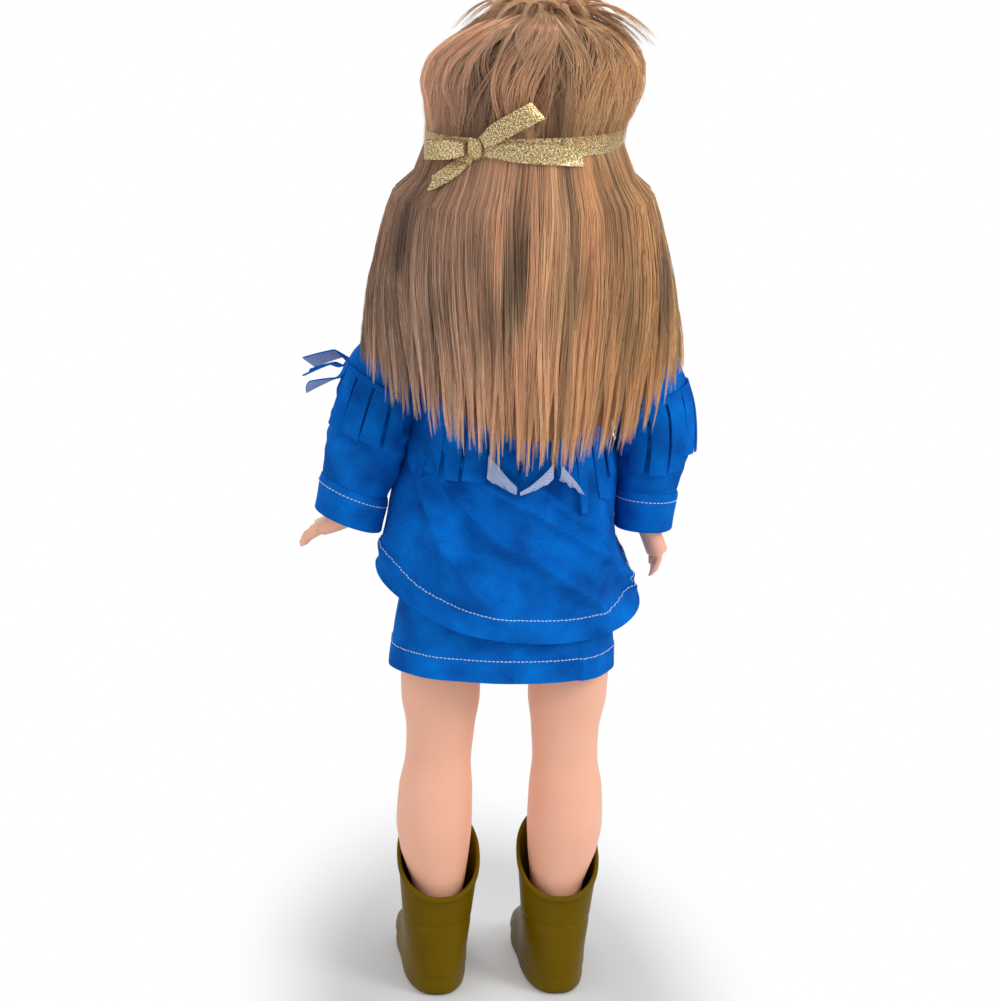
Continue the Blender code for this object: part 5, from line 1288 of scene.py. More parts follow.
sleeve = {
    "radius": 0.0190,
    "left": (
        (0.000, 0.037, 0.000, 0.000, 0.00, 0.985), (0.040, 0.062, 0.000, 0.000, 0.00, 1.000),
        (0.140, 0.139, 0.000, 0.011, 0.28, 1.050), (0.260, 0.193, 0.000, 0.048, 0.56, 1.110),
        (0.400, 0.223, -0.005, 0.127, 0.72, 1.160), (0.520, 0.246, -0.012, 0.215, 0.755, 1.200),
        (0.640, 0.269, -0.015, 0.315, 0.77, 1.210), (0.760, 0.293, -0.005, 0.415, 0.77, 1.170),
        (0.880, 0.316, 0.010, 0.515, 0.765, 1.030), (0.905, 0.321, 0.014, 0.545, 0.765, 1.010),
        (1.000, 0.347, 0.030, 0.696, 0.785, 1.000),
    ),
    "right": (
        (0.000, 0.037, 0.000, 0.000, 0.00, 0.985), (0.040, 0.062, 0.000, 0.000, 0.00, 1.000),
        (0.140, 0.139, 0.000, 0.011, 0.28, 1.050), (0.260, 0.193, 0.000, 0.048, 0.56, 1.110),
        (0.400, 0.224, -0.005, 0.127, 0.74, 1.160), (0.520, 0.245, -0.012, 0.215, 0.82, 1.160),
        (0.640, 0.251, -0.015, 0.315, 0.91, 1.120), (0.760, 0.246, -0.005, 0.415, 1.00, 1.060),
        (0.880, 0.239, 0.008, 0.515, 1.03, 0.920), (0.905, 0.237, 0.012, 0.545, 1.03, 0.885),
        (1.000, 0.232, 0.025, 0.715, 1.02, 0.805),
    ),
}


def sleevePoint(rows, side, along, angle, out=0.0):
    wayOut, ahead, down, turn, radius = between(rows, along)
    across = Vector((side * sin(turn * pi / 2), 0, cos(turn * pi / 2)))
    long = arm["length"]
    centre = Vector((side * (torso["shoulderOut"] + wayOut * long), -ahead * long, shoulderHeight - down * long))
    size = sleeve["radius"] * radius + out
    return centre + across * size * cos(angle) + backWay * size * sin(angle)


def buildSleeve(side, word, rows):
    seed = 3 + side

    def wrinkle(along, angle):
        elbow = exp(-((along - 0.60) / 0.17) ** 2)
        ridges = sin(along * 62 + 2.2 * cos(angle) + 3 * bumpy(cos(angle) * 1.2, along * 5, seed))
        soft = bumpy(cos(angle) * 1.6 + seed, sin(angle) * 1.6, along * 7)
        return (0.0007 * ridges * elbow + 0.0013 * soft) * smooth(0.02, 0.2, along) * smooth(0.9, 0.8, along)

    angles = [2 * pi * k / 96 for k in range(96)]
    alongs = steps(0, 0.93, 76)
    grid = [[sleevePoint(rows, side, a, t, wrinkle(a, t)) for t in angles] for a in alongs]
    name = "denimSleeve" + word
    outer = lambda r, c: grid[r][c] - sum(grid[r], Vector()) / len(angles)
    body = clothSheet("sleeveTube", grid, closed=True, outside=outer)
    thicken(body, cloth["thickness"])
    # the turned cuff is its own tube with a rolled upper edge
    profile = []
    for k in range(8):
        profile.append((0.900 + 0.012 * (1 - cos(k / 7 * pi / 2)), -0.0004 + 0.0014 * sin(k / 7 * pi / 2)))
    profile += [(a, 0.0010 + 0.0002 * sin((a - 0.9) * 60)) for a in steps(0.918, 0.992, 14)]
    profile += [(0.997, 0.0008), (1.0, 0.0003), (1.0, -0.0005), (0.996, -cloth["thickness"]),
                (0.96, -cloth["thickness"]), (0.90, -cloth["thickness"])]
    cuffGrid = []
    for along, out in profile:
        row = []
        for t in angles:
            ripple = 0.00016 * sin(t * 55) * exp(-((along - 0.915) / 0.008) ** 2) if out > 0 else 0
            soft = 0.0006 * bumpy(cos(t) * 1.5, sin(t) * 1.5, seed + along * 2)
            row.append(sleevePoint(rows, side, along, t, out + ripple + soft))
        cuffGrid.append(row)
    cuff = clothSheet("cuffTube", cuffGrid, closed=True,
                      outside=lambda r, c: cuffGrid[r][c] - sum(cuffGrid[r], Vector()) / len(angles))
    thicken(cuff, 0.0003)
    obj = joined(name, [body, cuff])
    dress(obj, finishes["denim"], "arm_" + word.lower(), ["sleeve_" + word.lower()])
    path = [sleevePoint(rows, side, 0.925, 2 * pi * k / 120, 0.0013) for k in range(121)]
    stitches = sewRow("cuffStitches" + word, [path], "arm_" + word.lower())


fringe = {
    "seamDrop": 0.0180, "length": 0.0400, "band": 0.0040, "lift": 0.0060, "strip": 0.0100, "slit": 0.0014,
    "thickness": 0.0008, "gap": 0.0008, "sleeveSeam": 0.40,
    # by the strip's number: its sweep, rise and twist, or how much longer it is
    "blown": {1: (0.024, 0.0075, 0.003), 2: (0.020, 0.0, -0.004), 3: (0.017, -0.0075, 0.009)},
    "longSleeve": {5: 1.22, 6: 1.3, 7: 1.25},
}
fringeSeam = shoulderHeight - fringe["seamDrop"]


def fringePiece(name, point, start, end, count, body, node, outside, liftShare=1.0, flying={}, folded=(),
                longer={}):
    # strips side by side that hang from one band, each with its own curl, some longer, blown out or folded up
    strip = (end - start) / count
    shy = strip * fringe["slit"] / (2 * fringe["strip"])
    cells, columns = 6, []
    for k in range(count):
        columns += [(k, s) for s in steps(0, 1, cells)]
    downs = [0.0, 0.05, fringe["band"] / fringe["length"]] + steps(0.14, 1.0, 16)
    grid = []
    for r, down in enumerate(downs):
        row = []
        for number, s in columns:
            across = start + strip * number + shy + (strip - 2 * shy) * s
            lift = liftShare * down**1.5 * fringe["lift"] * (0.55 + 0.45 * sin(number * 2.3))
            curl = 0.0018 * (s - 0.5) ** 2 * 4 * sin(number * 4.1) * down
            curl += 0.0012 * (1 + sin(number * 2.9 + 1)) * (s - 0.5) * sin(number * 7.7) * down
            swing = 0.10 * strip * sin(number * 1.9) * max(0, down - 0.1)
            uneven = 0.02 * (s - 0.5) * sin(number * 5.3) if down > 0.9 else 0
            reach = (down * (1 + 0.06 * sin(number * 3.1)) + uneven) * longer.get(number, 1)
            if number in folded:
                reach *= 1.16 + 0.05 * (number % 3)
                fold = 1.05 + 0.20 * (s - 0.5) * (-1) ** number
                lift += 0.004 * smooth(fold - 0.15, fold + 0.08, reach)
                reach -= 2 * max(0, reach - fold)
            sweep, rise, twist = flying.get(number, (0, 0, 0))
            blown = smooth(0.0, 0.4, down)
            reach *= 1 - (0.85 * blown if sweep else 0)
            place = point(across + swing, reach, fringe["gap"] + lift + curl + fringe["thickness"])
            place.z += rise * blown + twist * (s - 0.5) * down - 0.18 * sweep * down * down
            place.x += sweep * blown * down
            row.append(place)
        grid.append(row)
    obj = clothSheet(name, grid, kept=lambda r, c: r < 2 or c % cells != cells - 1, outside=outside(grid))
    for finish in ("denim", "reverse"):
        obj.data.materials.append(finishes[finish])
    thicken(obj, fringe["thickness"], reverse=True)
    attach(obj, body)
    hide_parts(node)


def buildFringes():
    def onJacket(across, down, out):
        return jacketAt(across, fringeSeam - down * fringe["length"], out)

    fromMiddle = lambda grid: (lambda r, c: Vector((grid[r][c].x, grid[r][c].y, 0)))
    fringePiece("fringeBack", onJacket, -0.41, 0.41, 10, "torso", "fringe_back", fromMiddle,
                folded=(3, 4, 5), longer={1: 1.25, 2: 1.45})
    fringePiece("fringeFrontRight", onJacket, -0.93, -0.66, 4, "torso", "fringe_front_right", fromMiddle)
    fringePiece("fringeFrontLeft", onJacket, 0.66, 0.93, 4, "torso", "fringe_front_left", fromMiddle)
    for side, word in ((1, "Left"), (-1, "Right")):
        rows = sleeve[word.lower()]
        seam = fringe["sleeveSeam"] - (0.06 if side > 0 else 0)

        def onSleeve(across, down, out):
            return sleevePoint(rows, side, seam + down * fringe["length"] / arm["length"], across, out)

        middle = side * (torso["shoulderOut"] + 0.25 * arm["length"])

        def fromSleeve(grid):
            return lambda r, c: grid[r][c] - Vector((middle, 0, grid[r][c].z))

        fringePiece("fringeSleeve" + word, onSleeve, radians(-92), radians(132), 8, "arm_" + word.lower(),
                    "fringe_sleeve_" + word.lower(), fromSleeve, 0.6,
                    fringe["blown"] if side > 0 else {}, longer={} if side > 0 else fringe["longSleeve"])


# Hair

hair = {
    "tieHeight": 0.0835, "tieSlope": 0.030, "crownRise": 0.0190, "crownSide": 0.0148, "crownRear": 0.0110,
    "crownBrow": 0.0085, "length": 0.172, "halfWidth": 0.0890, "depth": 0.0570, "thickness": 0.0170,
    "strandRadius": 0.00014, "seed": 7, "clumps": 42, "whorlOut": -0.0070, "whorlBack": 0.0100, "tieLean": 0.045,
    "crownRows": (
        (0.00, 0.88, 0.96, 0.93), (0.19, 0.885, 0.965, 0.935), (0.30, 0.95, 0.995, 0.985), (0.45, 1.00, 1.00, 1.00),
        (0.62, 0.98, 0.94, 0.97), (0.80, 0.80, 0.78, 0.80), (0.92, 0.52, 0.52, 0.55), (1.00, 0.16, 0.16, 0.18),
    ),
    "rows": (
        (0.00, 0.590, 1.00, 0.00, 1.00, 0.42), (0.05, 0.640, 1.00, 0.02, 1.00, 0.50),
        (0.11, 0.770, 0.99, 0.06, 0.98, 0.66), (0.28, 0.870, 0.93, 0.18, 0.91, 0.85),
        (0.46, 0.945, 0.80, 0.34, 0.80, 1.00), (0.60, 0.985, 0.70, 0.44, 0.71, 1.00),
        (0.75, 1.000, 0.66, 0.47, 0.66, 0.90), (0.90, 0.965, 0.65, 0.47, 0.63, 0.66),
        (1.00, 0.940, 0.65, 0.47, 0.62, 0.40),
    ),
    "edge": (
        (-1.00, 0.68), (-0.80, 0.74), (-0.55, 0.88), (-0.30, 0.965), (-0.05, 1.00), (0.15, 0.96), (0.40, 0.87),
        (0.62, 0.80), (0.82, 0.72), (1.00, 0.66),
    ),
}
ribbon = {"width": 0.0100, "thickness": 0.0004, "ease": 0.0010, "knot": 0.0042, "bowOut": 0.0330,
          "loop": 0.0330, "loopHeight": 0.0095, "shortTail": 0.0240, "longTail": 0.0560}
tieHeight = headBottom + hair["tieHeight"]
hairTop = headBottom + head["height"] + hair["crownRise"]
hairEdge = tieHeight - 0.8 * ribbon["width"]


def crownSizes(share, inset=0.0):
    width, front, back = between(hair["crownRows"], share)
    return ((head["halfWidth"] + hair["crownSide"]) * width - inset,
            (head["front"] + hair["crownBrow"]) * front - inset,
            (head["back"] + hair["crownRear"]) * back - inset)


def crownPoint(angle, share, out=0.0):
    # a point of the hair over the crown, round from the doll's left by way of its back
    halfWidth, front, back = crownSizes(share, -out)
    k = angle / (2 * pi) * 28
    locks = 0.018 * min(1, max(0, share - 0.24) * 4)
    wave = 1 + locks * (sin(k * 2.4) + 0.6 * sin(k * 1.3 + 9 * share))
    x = halfWidth * rounded(cos(angle), 2.2) * wave
    x *= 1 - (0.085 * smooth(0.1, 0.4, share) if x > 0 else 0)
    y = (back if sin(angle) > 0 else front) * rounded(sin(angle), 2.2) * wave
    height = hairEdge + (hairTop - hairEdge) * share
    return Vector((x, y, height - (hair["tieSlope"] * y + hair["tieLean"] * x) * (1 - share)))


def curtainPoint(across, share, inward=0.0):
    width, depth, middle, wrap, thick = between(hair["rows"], share)
    inset = inward * hair["thickness"] * thick * (1 - 0.45 * abs(across) ** 3)
    angle = across * wrap * radians(116)
    x = (hair["halfWidth"] * width - inset) * rounded(sin(angle), 2.15)
    y = middle * hair["depth"] + (hair["depth"] * depth - inset) * rounded(cos(angle), 2.15)
    top = hairEdge - cloth["gap"]
    tilt = (hair["tieSlope"] * y + hair["tieLean"] * x) * (1 - share) ** 2
    tuck = 0.0055 * (1 - smooth(0.0, 0.06, share))  # its upper end lies under the ribbon
    return Vector((x, y, top - share * hair["length"] - tilt + tuck))


def strandTree():
    # each guide line becomes a lock of thin tapered strands that draw together towards its tip
    tree = bpy.data.node_groups.new("lockOfHair", "GeometryNodeTree")
    for name, kind in (("Geometry", "NodeSocketGeometry"), ("Strands", "NodeSocketInt"), ("Radius", "NodeSocketFloat"),
                       ("Uneven Ends", "NodeSocketFloat"), ("Wander", "NodeSocketFloat"), ("Seed", "NodeSocketInt"),
                       ("Fibre", "NodeSocketMaterial")):
        tree.interface.new_socket(name, in_out="INPUT", socket_type=kind)
    tree.interface.new_socket("Geometry", in_out="OUTPUT", socket_type="NodeSocketGeometry")
    given = addNode(tree, "NodeGroupInput").outputs
    path = addNode(tree, "GeometryNodeMeshToCurve", {"Mesh": given["Geometry"]})
    many = addNode(tree, "GeometryNodeDuplicateElements", {"Geometry": path.outputs[0], "Amount": given["Strands"]},
                   domain="SPLINE")
    index = addNode(tree, "GeometryNodeInputIndex").outputs[0]

    def chance(low, high, offset, kind="FLOAT"):
        seed = calc(tree, "ADD", given["Seed"], offset)
        node = addNode(tree, "FunctionNodeRandomValue", data_type=kind)
        ins = [s for s in node.inputs if s.enabled]
        ins[0].default_value, ins[1].default_value = low, high
        tree.links.new(index, [s for s in ins if s.name == "ID"][0])
        tree.links.new(seed, [s for s in ins if s.name == "Seed"][0])
        return [s for s in node.outputs if s.enabled][0]

    def keep(geometry, name, value, kind="FLOAT", domain="CURVE"):
        node = addNode(tree, "GeometryNodeStoreNamedAttribute", {"Geometry": geometry, "Name": name},
                       data_type=kind, domain=domain)
        tree.links.new(value, [s for s in node.inputs if s.name == "Value" and s.enabled][0])
        return node.outputs[0]

    def recall(name, kind="FLOAT"):
        node = addNode(tree, "GeometryNodeInputNamedAttribute", {"Name": name}, data_type=kind)
        return [s for s in node.outputs if s.enabled][0]

    curves = keep(many.outputs[0], "scatter", chance((-1, -1, -1), (1, 1, 1), 0, "FLOAT_VECTOR"), "FLOAT_VECTOR")
    curves = keep(curves, "tint", chance(0.0, 1.0, 1))
    along = addNode(tree, "GeometryNodeSplineParameter").outputs["Factor"]
    scatter = addNode(tree, "ShaderNodeSeparateXYZ", {0: recall("scatter", "FLOAT_VECTOR")})
    wide = recall("lockWidth")
    side = vectorCalc(tree, "SCALE", recall("sideways", "FLOAT_VECTOR"),
                      scale=calc(tree, "MULTIPLY", scatter.outputs[0], wide))
    deep = vectorCalc(tree, "SCALE", recall("outwards", "FLOAT_VECTOR"),
                      scale=calc(tree, "MULTIPLY", scatter.outputs[1], calc(tree, "MULTIPLY", wide, 0.42)))
    place = addNode(tree, "GeometryNodeInputPosition").outputs[0]
    shifted = vectorCalc(tree, "ADD", vectorCalc(tree, "SCALE", place, scale=38.0),
                         vectorCalc(tree, "SCALE", recall("scatter", "FLOAT_VECTOR"), scale=3.0))
    drift = addNode(tree, "ShaderNodeTexNoise", {"Vector": shifted, "Scale": 1.0, "Detail": 1.0})
    drift = vectorCalc(tree, "SUBTRACT", drift.outputs["Color"], (0.5, 0.5, 0.5))
    drift = vectorCalc(tree, "SCALE", drift, scale=calc(tree, "MULTIPLY", given["Wander"], along))
    offset = vectorCalc(tree, "ADD", vectorCalc(tree, "ADD", side, deep), drift)
    moved = addNode(tree, "GeometryNodeSetPosition", {"Geometry": curves, "Offset": offset})
    short = calc(tree, "SUBTRACT", 1.0, calc(tree, "MULTIPLY", given["Uneven Ends"], chance(0.0, 1.0, 2)))
    cut = addNode(tree, "GeometryNodeTrimCurve", {"Curve": moved.outputs[0]}, mode="FACTOR")
    tree.links.new(short, [s for s in cut.inputs if s.name == "End" and s.enabled][0])
    curves = keep(cut.outputs[0], "along", along, "FLOAT", "POINT")
    taper = addNode(tree, "ShaderNodeMapRange", {0: along, 1: 0.55, 2: 1.0, 3: 1.0, 4: 0.22})
    thin = addNode(tree, "GeometryNodeSetCurveRadius", {
        "Curve": curves, "Radius": calc(tree, "MULTIPLY", given["Radius"], taper.outputs[0])})
    round = addNode(tree, "GeometryNodeCurvePrimitiveCircle", {"Resolution": 3, "Radius": 1.0}, mode="RADIUS")
    tubes = addNode(tree, "GeometryNodeCurveToMesh", {
        "Curve": thin.outputs[0], "Profile Curve": round.outputs[0], "Fill Caps": True})
    if "Scale" in tubes.inputs:
        radius = addNode(tree, "GeometryNodeInputRadius")
        tree.links.new(radius.outputs[0], tubes.inputs["Scale"])
    real = addNode(tree, "GeometryNodeRealizeInstances", {0: tubes.outputs[0]})
    smoothed = addNode(tree, "GeometryNodeSetShadeSmooth", {"Geometry": real.outputs[0]})
    coloured = addNode(tree, "GeometryNodeSetMaterial", {"Geometry": smoothed.outputs[0], "Material": given["Fibre"]})
    out = addNode(tree, "NodeGroupOutput")
    tree.links.new(coloured.outputs[0], out.inputs[0])
    return tree


def growLocks(name, guides, strands, uneven=0.06, wander=0.0012, radius=None, seed=1):
    # guides: (points, widths, sideways, outwards, tone with painted shade)
    paths, widths, sideways, outwards, tonesAndShade = [], [], [], [], []
    for points, wide, side, out, toneAndShade in guides:
        paths.append(points)
        widths += wide
        sideways += side
        outwards += out
        tonesAndShade += toneAndShade if isinstance(toneAndShade, list) else [toneAndShade] * len(points)
    obj = polylines(name, paths, {"lockWidth": widths, "sideways": sideways, "outwards": outwards, "toneAndShade": tonesAndShade})
    useTree(obj, trees["strands"], {
        "Strands": strands, "Radius": radius or hair["strandRadius"], "Uneven Ends": uneven, "Wander": wander,
        "Seed": seed, "Fibre": finishes["hair"]})
    return obj


def hairToneAndShade(x, z, chance):
    # painted shade: greyer and darker towards the doll's left, away from the key light, with soft dark patches below
    # the ribbon where the waves of the hair fall into shade; lighter lower down and down the middle, times a random
    # factor per lock
    toneAndShade = (1.0 - 0.32 * smooth(0.005, 0.065, x)) * (0.90 + 0.44 * smooth(0.405, 0.335, z))
    toneAndShade *= 1 + 0.14 * exp(-((x + 0.002) / 0.03) ** 2)
    patch = smooth(-0.05, 0.4, bumpy(x * 60, z * 17, 3)) * exp(-((z - 0.424) / 0.030) ** 2)
    patch += 0.6 * smooth(0.1, 0.5, bumpy(x * 75, z * 9, 8))
    return min(1.2, max(0.24, toneAndShade - 0.44 * patch) * (0.46 + 1.12 * chance))


def buildCurtain():
    rows, shares = [], steps(0, 1, 30)
    acrosses = steps(-1, 1, 80)
    for share in shares:
        rows.append([curtainPoint(a, share * (between(hair["edge"], a)[0] - 0.15), 0.30) for a in acrosses])
    bed = clothSheet("hairBackBed", rows, outside=lambda r, c: Vector((rows[r][c].x, rows[r][c].y, 0)))
    thicken(bed, 0.0035)
    dress(bed, finishes["hairBed"], None, ["hair_back"])
    pick = random.Random(hair["seed"])
    guides = []
    clumps = [(-1 + 2 * (k + pick.random()) / hair["clumps"], pick.uniform(0.0, 0.075), pick.random())
              for k in range(hair["clumps"])]
    for layer, count in ((0.55, 60), (0.30, 110), (0.08, 210)):
        for k in range(count):
            across = -1 + 2 * (k + 0.2 + 0.6 * pick.random()) / count
            tip, shorter, shade = min(clumps, key=lambda clump: abs(clump[0] - across))
            (edge,) = between(hair["edge"], max(-1, min(1, tip)))
            edge -= shorter + 0.09 * layer + 0.05 * abs(across - tip) * hair["clumps"] * pick.random()
            drift, lean = pick.uniform(-0.02, 0.02), pick.uniform(-0.5, 0.5)
            wide = pick.uniform(0.0018, 0.0036)
            stray = pick.uniform(0.1, 0.42) if layer < 0.1 and pick.random() < 0.10 else 0
            wide *= 0.5 if stray else 1
            points, widths, sideways, outwards = [], [], [], []
            for s in steps(0, 1, 13):
                drawn = (tip - across) * 0.85 * smooth(0.35, 1.0, s)
                at = max(-1, min(1, across + drawn + drift * s + 0.010 * sin(s * 5 + lean * 6)))
                share = s * edge
                point = curtainPoint(at, share, layer + 0.07 * sin(7 * s + lean * 9) - stray * s * s)
                beside = curtainPoint(min(1, at + 0.01), share, layer)
                beside -= curtainPoint(max(-1, at - 0.01), share, layer)
                beside.z = 0
                beside.normalize()
                out = beside.cross(upWay)
                if out.dot(Vector((point.x, point.y + 0.001, 0))) < 0:
                    out = -out
                points.append(point)
                sideways.append(beside)
                outwards.append(out)
                widths.append(wide * (0.75 + 0.25 * smooth(0, 0.3, s)) * (1 - 0.86 * smooth(0.62, 1.0, s)))
            # each lock's brightness is partly its own random tone and partly painted shade and highlights between the
            # locks; the inner layers get painted shade, as if under the outer strands
            chance = 0.45 * shade + 0.55 * pick.random()
            tonesAndShade = [hairToneAndShade(point.x, point.z, chance) * (0.8 if layer > 0.2 else 1) for point in points]
            guides.append((points, widths, sideways, outwards, tonesAndShade))
    guides.sort(key=lambda guide: guide[0][9].x)
    pieces = [bed]
    for k, word in enumerate(("Right", "MiddleRight", "MiddleLeft", "Left")):
        some = guides[k * len(guides) // 4:(k + 1) * len(guides) // 4]
        obj = growLocks("hairBack" + word, some, 25, seed=11 + k, wander=0.0022, uneven=0.10)
        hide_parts("hair_back")
        pieces.append(obj)
    for obj in pieces:
        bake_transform(obj)


def buildCrown():
    angles = [2 * pi * k / 96 for k in range(96)]
    rows = []
    for share in steps(0.0, 1.0, 40):
        rows.append([crownPoint(a, share, -0.0050) for a in angles])
    bed = loft("hairCrownBed", rows)
    bm = bmesh.new()
    bm.from_mesh(bed.data)
    weave = bm.loops.layers.uv.new("weave")
    for face in bm.faces:
        for loop in face.loops:
            place = loop.vert.co - base
            loop[weave].uv = (atan2(place.y, place.x) * 0.05, place.z)
    bm.to_mesh(bed.data)
    bm.free()
    dress(bed, finishes["hairBed"], "head", ["hair_crown"])
    pick = random.Random(hair["seed"] + 1)
    guides = []
    whorl = Vector((hair["whorlOut"], hair["whorlBack"], 0))
    for layer, count in ((-0.0030, 150), (-0.0018, 230)):
        for k in range(count):
            angle = 2 * pi * (k + pick.random()) / count
            twist, puff = pick.uniform(-0.45, 0.45), pick.random()
            stray = layer > -0.002 and pick.random() < 0.10
            # the patches between the upper locks are deep, and painted dark as shade
            deep = smooth(0.05, 0.45, bumpy(cos(angle) * 3.1, sin(angle) * 3.1, 7))
            end = pick.uniform(0.35, 0.75) if stray else 0.02 if pick.random() < 0.72 else pick.uniform(0.1, 0.5)
            wide = pick.uniform(0.0018, 0.0036) * (0.35 if stray else 1)
            points, widths, sideways, outwards = [], [], [], []
            for s in steps(0, 1, 14):
                share = 0.985 + (end - 0.985) * s**0.85
                at = angle + twist * (1 - s) ** 1.5 + 0.05 * sin(6 * s + 9 * puff)
                lift = layer + 0.0050 * (puff - 0.45 * deep) * sin(pi * min(1, s * 1.15)) * smooth(0.0, 0.5, share)
                lift += 0.0034 * (1 - smooth(0.18, 0.42, share)) + 0.011 * stray * s**2.2 * puff
                point = crownPoint(at, share, lift) + whorl * smooth(0.45, 0.98, share)
                beside = crownPoint(at + 0.02, share, lift) - crownPoint(at - 0.02, share, lift)
                beside.normalize()
                out = Vector((point.x, point.y, 0.5 * (point.z - tieHeight - 0.03))).normalized()
                points.append(point)
                sideways.append(beside)
                outwards.append(out)
                widths.append(wide * (0.35 + 0.65 * smooth(0, 0.3, s)) * (1 - 0.6 * smooth(0.6, 1.0, s)))
            # painted light and shade: locks that puff out further are lighter, the deep patches darker, and the crown
            # lighter on the doll's left, which the key light leaves in shade; a darker band runs in patches a little
            # below the top
            toneAndShade = (0.56 + 0.50 * puff - 0.34 * deep) * (1 + 0.34 * smooth(-0.01, 0.035, points[7].x))
            arc = smooth(-0.15, 0.35, bumpy(cos(angle) * 2.2, sin(angle) * 2.2, 5))
            tonesAndShade = [toneAndShade * (1 - 0.55 * arc * exp(-((s - 0.22) / 0.09) ** 2)) for s in steps(0, 1, 14)]
            guides.append((points, widths, sideways, outwards, tonesAndShade))
    # a ragged tuft that stands off the whorl and falls over to all sides
    for k in range(130):
        lean, rise = pick.uniform(-2.2, 2.2), pick.random()
        start = whorl + Vector((pick.uniform(-0.012, 0.012), pick.uniform(-0.008, 0.010), hairTop - 0.005))
        far, fall = 0.016 + 0.030 * pick.random(), 11.0
        points, widths = [], []
        for s in steps(0, 1, 10):
            points.append(start + Vector((
                -sin(lean) * far * s * (1.15 if lean > 0 else 0.9), cos(lean) * far * 0.8 * s,
                (0.005 + 0.006 * rise) * sin(pi * s**0.8 * 0.85) - fall * (far * s) ** 2 * (1.0 - 0.4 * rise))))
            widths.append(0.0022 * (1 - 0.85 * s))
        # painted light: tufts that stand higher are lighter
        guides.append((points, widths, [Vector((cos(lean), sin(lean), 0))] * 10, [upWay] * 10, 0.50 + 0.45 * rise))
    guides.sort(key=lambda guide: guide[0][7].x)
    for k, word in enumerate(("Right", "Middle", "Left")):
        some = guides[k * len(guides) // 3:(k + 1) * len(guides) // 3]
        obj = growLocks("hairCrown" + word, some, 15, uneven=0.14, wander=0.0062, seed=21 + k)
        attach(obj, "head")
        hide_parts("hair_crown")


def buildBangs():
    def frontAt(x, height, out):
        halfWidth, front, _ = headSection(height, -0.0012 - out)
        return -front * (1 - min(1, abs(x) / halfWidth) ** 2.2) ** (1 / 2.2)

    pick = random.Random(hair["seed"] + 2)
    guides = []
    level = hairEdge - cloth["gap"]
    for layer, count in ((0.0008, 44), (0.0019, 50)):
        for k in range(count):
            across = -1 + 2 * (k + pick.random()) / count
            drop = 0.0120 * (1 - 0.18 * abs(sin(across * 9))) * pick.uniform(0.86, 1.0)
            points, widths, sideways, outwards = [], [], [], []
            for s in steps(0, 1, 8):
                x = (across + 0.03 * sin(5 * s + k)) * 0.029
                top = level - 1.15 * hair["tieSlope"] * frontAt(x, level, 0) - hair["tieLean"] * x
                height = top - s * drop
                points.append(Vector((x, frontAt(x, height, layer * (1 - 0.5 * s)), height)))
                sideways.append(Vector((1, 0, 0)))
                outwards.append(Vector((0, -1, 0)))
                widths.append(0.0012 * (1 - 0.7 * s))
            guides.append((points, widths, sideways, outwards, 0.86 + 0.2 * pick.random()))
    obj = growLocks("hairBangs", guides, 12, seed=31, wander=0.0003, radius=0.00015)
    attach(obj, "head")
    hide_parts("hair_bangs")


# Ribbon

def hairSizes(up):
    over = up + 0.8 * ribbon["width"]
    if over > 0:
        return crownSizes(max(0.10, over / (hairTop - hairEdge)))
    width, depth, middle, _, _ = between(hair["rows"], -over / hair["length"])
    reach = hair["depth"] * (depth + middle)
    return hair["halfWidth"] * width, reach, reach


def ribbonPoint(angle, up, out):
    halfWidth, front, back = (size + out for size in hairSizes(up))
    x = halfWidth * rounded(cos(angle), 2.2)
    y = rounded(sin(angle), 2.2) * (back if sin(angle) > 0 else front)
    return Vector((x, y, tieHeight + up - hair["tieSlope"] * y - hair["tieLean"] * x))


def onRibbon(place, up, out):
    angle = pi / 2 - place / (head["back"] + hair["crownRear"])
    return ribbonPoint(angle, up, ribbon["ease"] + 0.0006 + out)


def besideKnot(tip):
    return ribbon["knot"] * (1.05 + 0.40 * abs(sin(tip))) + cloth["gap"]


def ribbonStrip(name, line, tip, node):
    # a flat ribbon along a line of distances from the knot, heights out and width shares
    table = [(k, *row) for k, row in enumerate(line)]
    grid = []
    for at in steps(0, len(line) - 1, 8 * (len(line) - 1) + 1):
        reach, out, width = between(table, at)
        row = []
        for s in steps(-1, 1, 9):
            sideways = s * width * ribbon["width"] / 2
            along = reach * cos(tip) - sideways * sin(tip)
            soft = 0.00025 * bumpy(reach * 160, s * 1.5, tip)
            row.append(onRibbon(ribbon["bowOut"] - along, reach * sin(tip) + sideways * cos(tip), out + soft))
        grid.append(row)
    obj = clothSheet(name, [list(column) for column in zip(*grid)])
    thicken(obj, ribbon["thickness"])
    dress(obj, finishes["ribbon"], "head", [node])


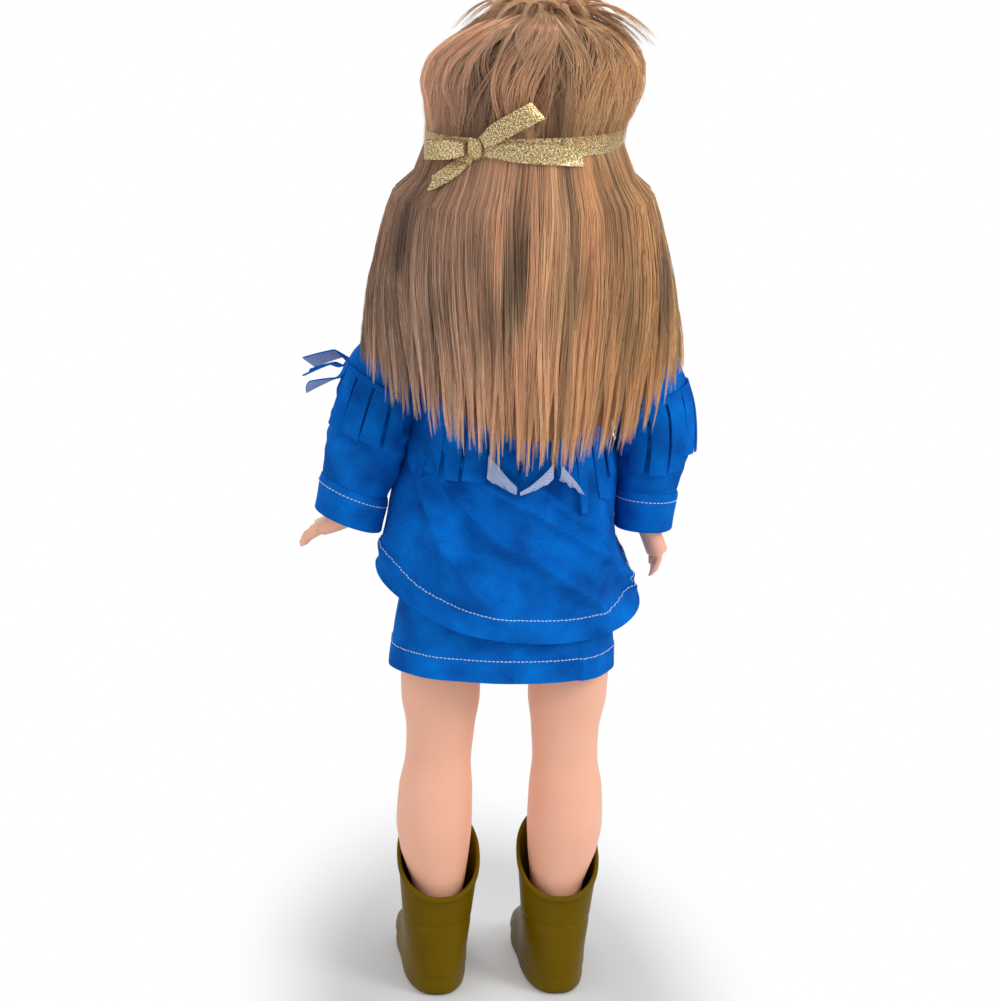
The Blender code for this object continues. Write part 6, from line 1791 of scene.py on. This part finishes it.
def buildRibbon():
    turns = [2 * pi * k / 200 for k in range(200)]
    grid = []
    for s in steps(1, -1, 11):
        row = []
        for turn in turns:
            soft = 0.0003 * bumpy(turn * 14, s * 1.2)
            row.append(ribbonPoint(turn, s * ribbon["width"] / 2, ribbon["ease"] + 0.0006 + soft))
        grid.append(row)
    obj = clothSheet("lurexBand", grid, closed=True, outside=lambda r, c: grid[r][c] * 1)
    thicken(obj, ribbon["thickness"])
    dress(obj, finishes["ribbon"], "head", ["ribbon_band"])
    size = ribbon["knot"]
    rings = []
    for along in steps(-1, 1, 22):
        bulge = (0.55 + 0.45 * (1 - abs(along) ** 3)) * (1 + 0.03 * sin(along * 14))
        rings.append([onRibbon(ribbon["bowOut"] - size * along,
                               1.35 * size * bulge * sin(2 * pi * k / 36) * (1 + 0.05 * sin(3 * 2 * pi * k / 36)),
                               cloth["gap"] + 0.75 * size * (1 + bulge * cos(2 * pi * k / 36))) for k in range(36)])
    knot = clothSheet("lurexKnot", rings, closed=True)
    bm = bmesh.new()
    bm.from_mesh(knot.data)
    bmesh.ops.holes_fill(bm, edges=bm.edges, sides=0)
    bmesh.ops.recalc_face_normals(bm, faces=bm.faces)
    bm.to_mesh(knot.data)
    bm.free()
    dress(knot, finishes["ribbon"], "head", ["bow_knot"])
    for name, tip, node in (("lurexLoopLeft", radians(184), "bow_loop_left"),
                            ("lurexLoopRight", radians(32), "bow_loop_right")):
        line = []
        for angle in steps(radians(-160), radians(160), 14):
            away = (1 + cos(angle)) / 2
            lift = ribbon["loopHeight"] * (0.56 + 0.5 * sin(angle) * (0.35 + 0.65 * min(1, away + 0.15)))
            line.append((besideKnot(tip) + ribbon["loop"] * away, lift, 0.62 + 0.38 * min(1, 3 * away)))
        ribbonStrip(name, line, tip, node)
    for name, tip, long, rise, node in (
            ("lurexTailShort", radians(220), ribbon["shortTail"], 0.7, "bow_tail_short"),
            ("lurexTailLong", radians(-5), ribbon["longTail"], 0.0, "bow_tail_long")):
        line = []
        for share in steps(0, 1, 9):
            out = 0.0008 + ribbon["knot"] * (0.20 * (1 - share) + rise * share**3)
            line.append((besideKnot(tip) + long * share, out, 0.62 + 0.38 * min(1, 3 * share)))
        ribbonStrip(name, line, tip, node)


# Putting it together

def finishCadNodes():
    # the CAD nodes that keep their own shape
    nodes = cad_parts
    wanted = {"torso": "vinyl", "briefs": "cotton", "eye_rocker": "steel", "eye_weight": "steel",
              "snap_top": "steel", "snap_middle": "steel", "snap_bottom": "steel"}
    for name, finish in wanted.items():
        nodes[name].data.materials.clear()
        nodes[name].data.materials.append(finishes[finish])


buildCamera()
buildStudio()
print("camera, light and floor are set")
mixFinishes()
finishes["face"] = faceMaterial()
trees["stitches"] = stitchTree()
trees["strands"] = strandTree()
print("materials and node trees are made")
finishCadNodes()
for side, word in ((1, "Left"), (-1, "Right")):
    buildBoot(side, word)
    buildLeg(side, word)
    buildArm(side, word, arm[word.lower()])
buildHead()
buildEyes()
print("body, head and boots are made")
buildSkirt()
buildJacket()
buildCollar()
for side, word in ((1, "Left"), (-1, "Right")):
    buildSleeve(side, word, sleeve[word.lower()])
buildFringes()
print("clothes are made")
buildCurtain()
buildCrown()
buildBangs()
buildRibbon()
print("hair and ribbon are made")
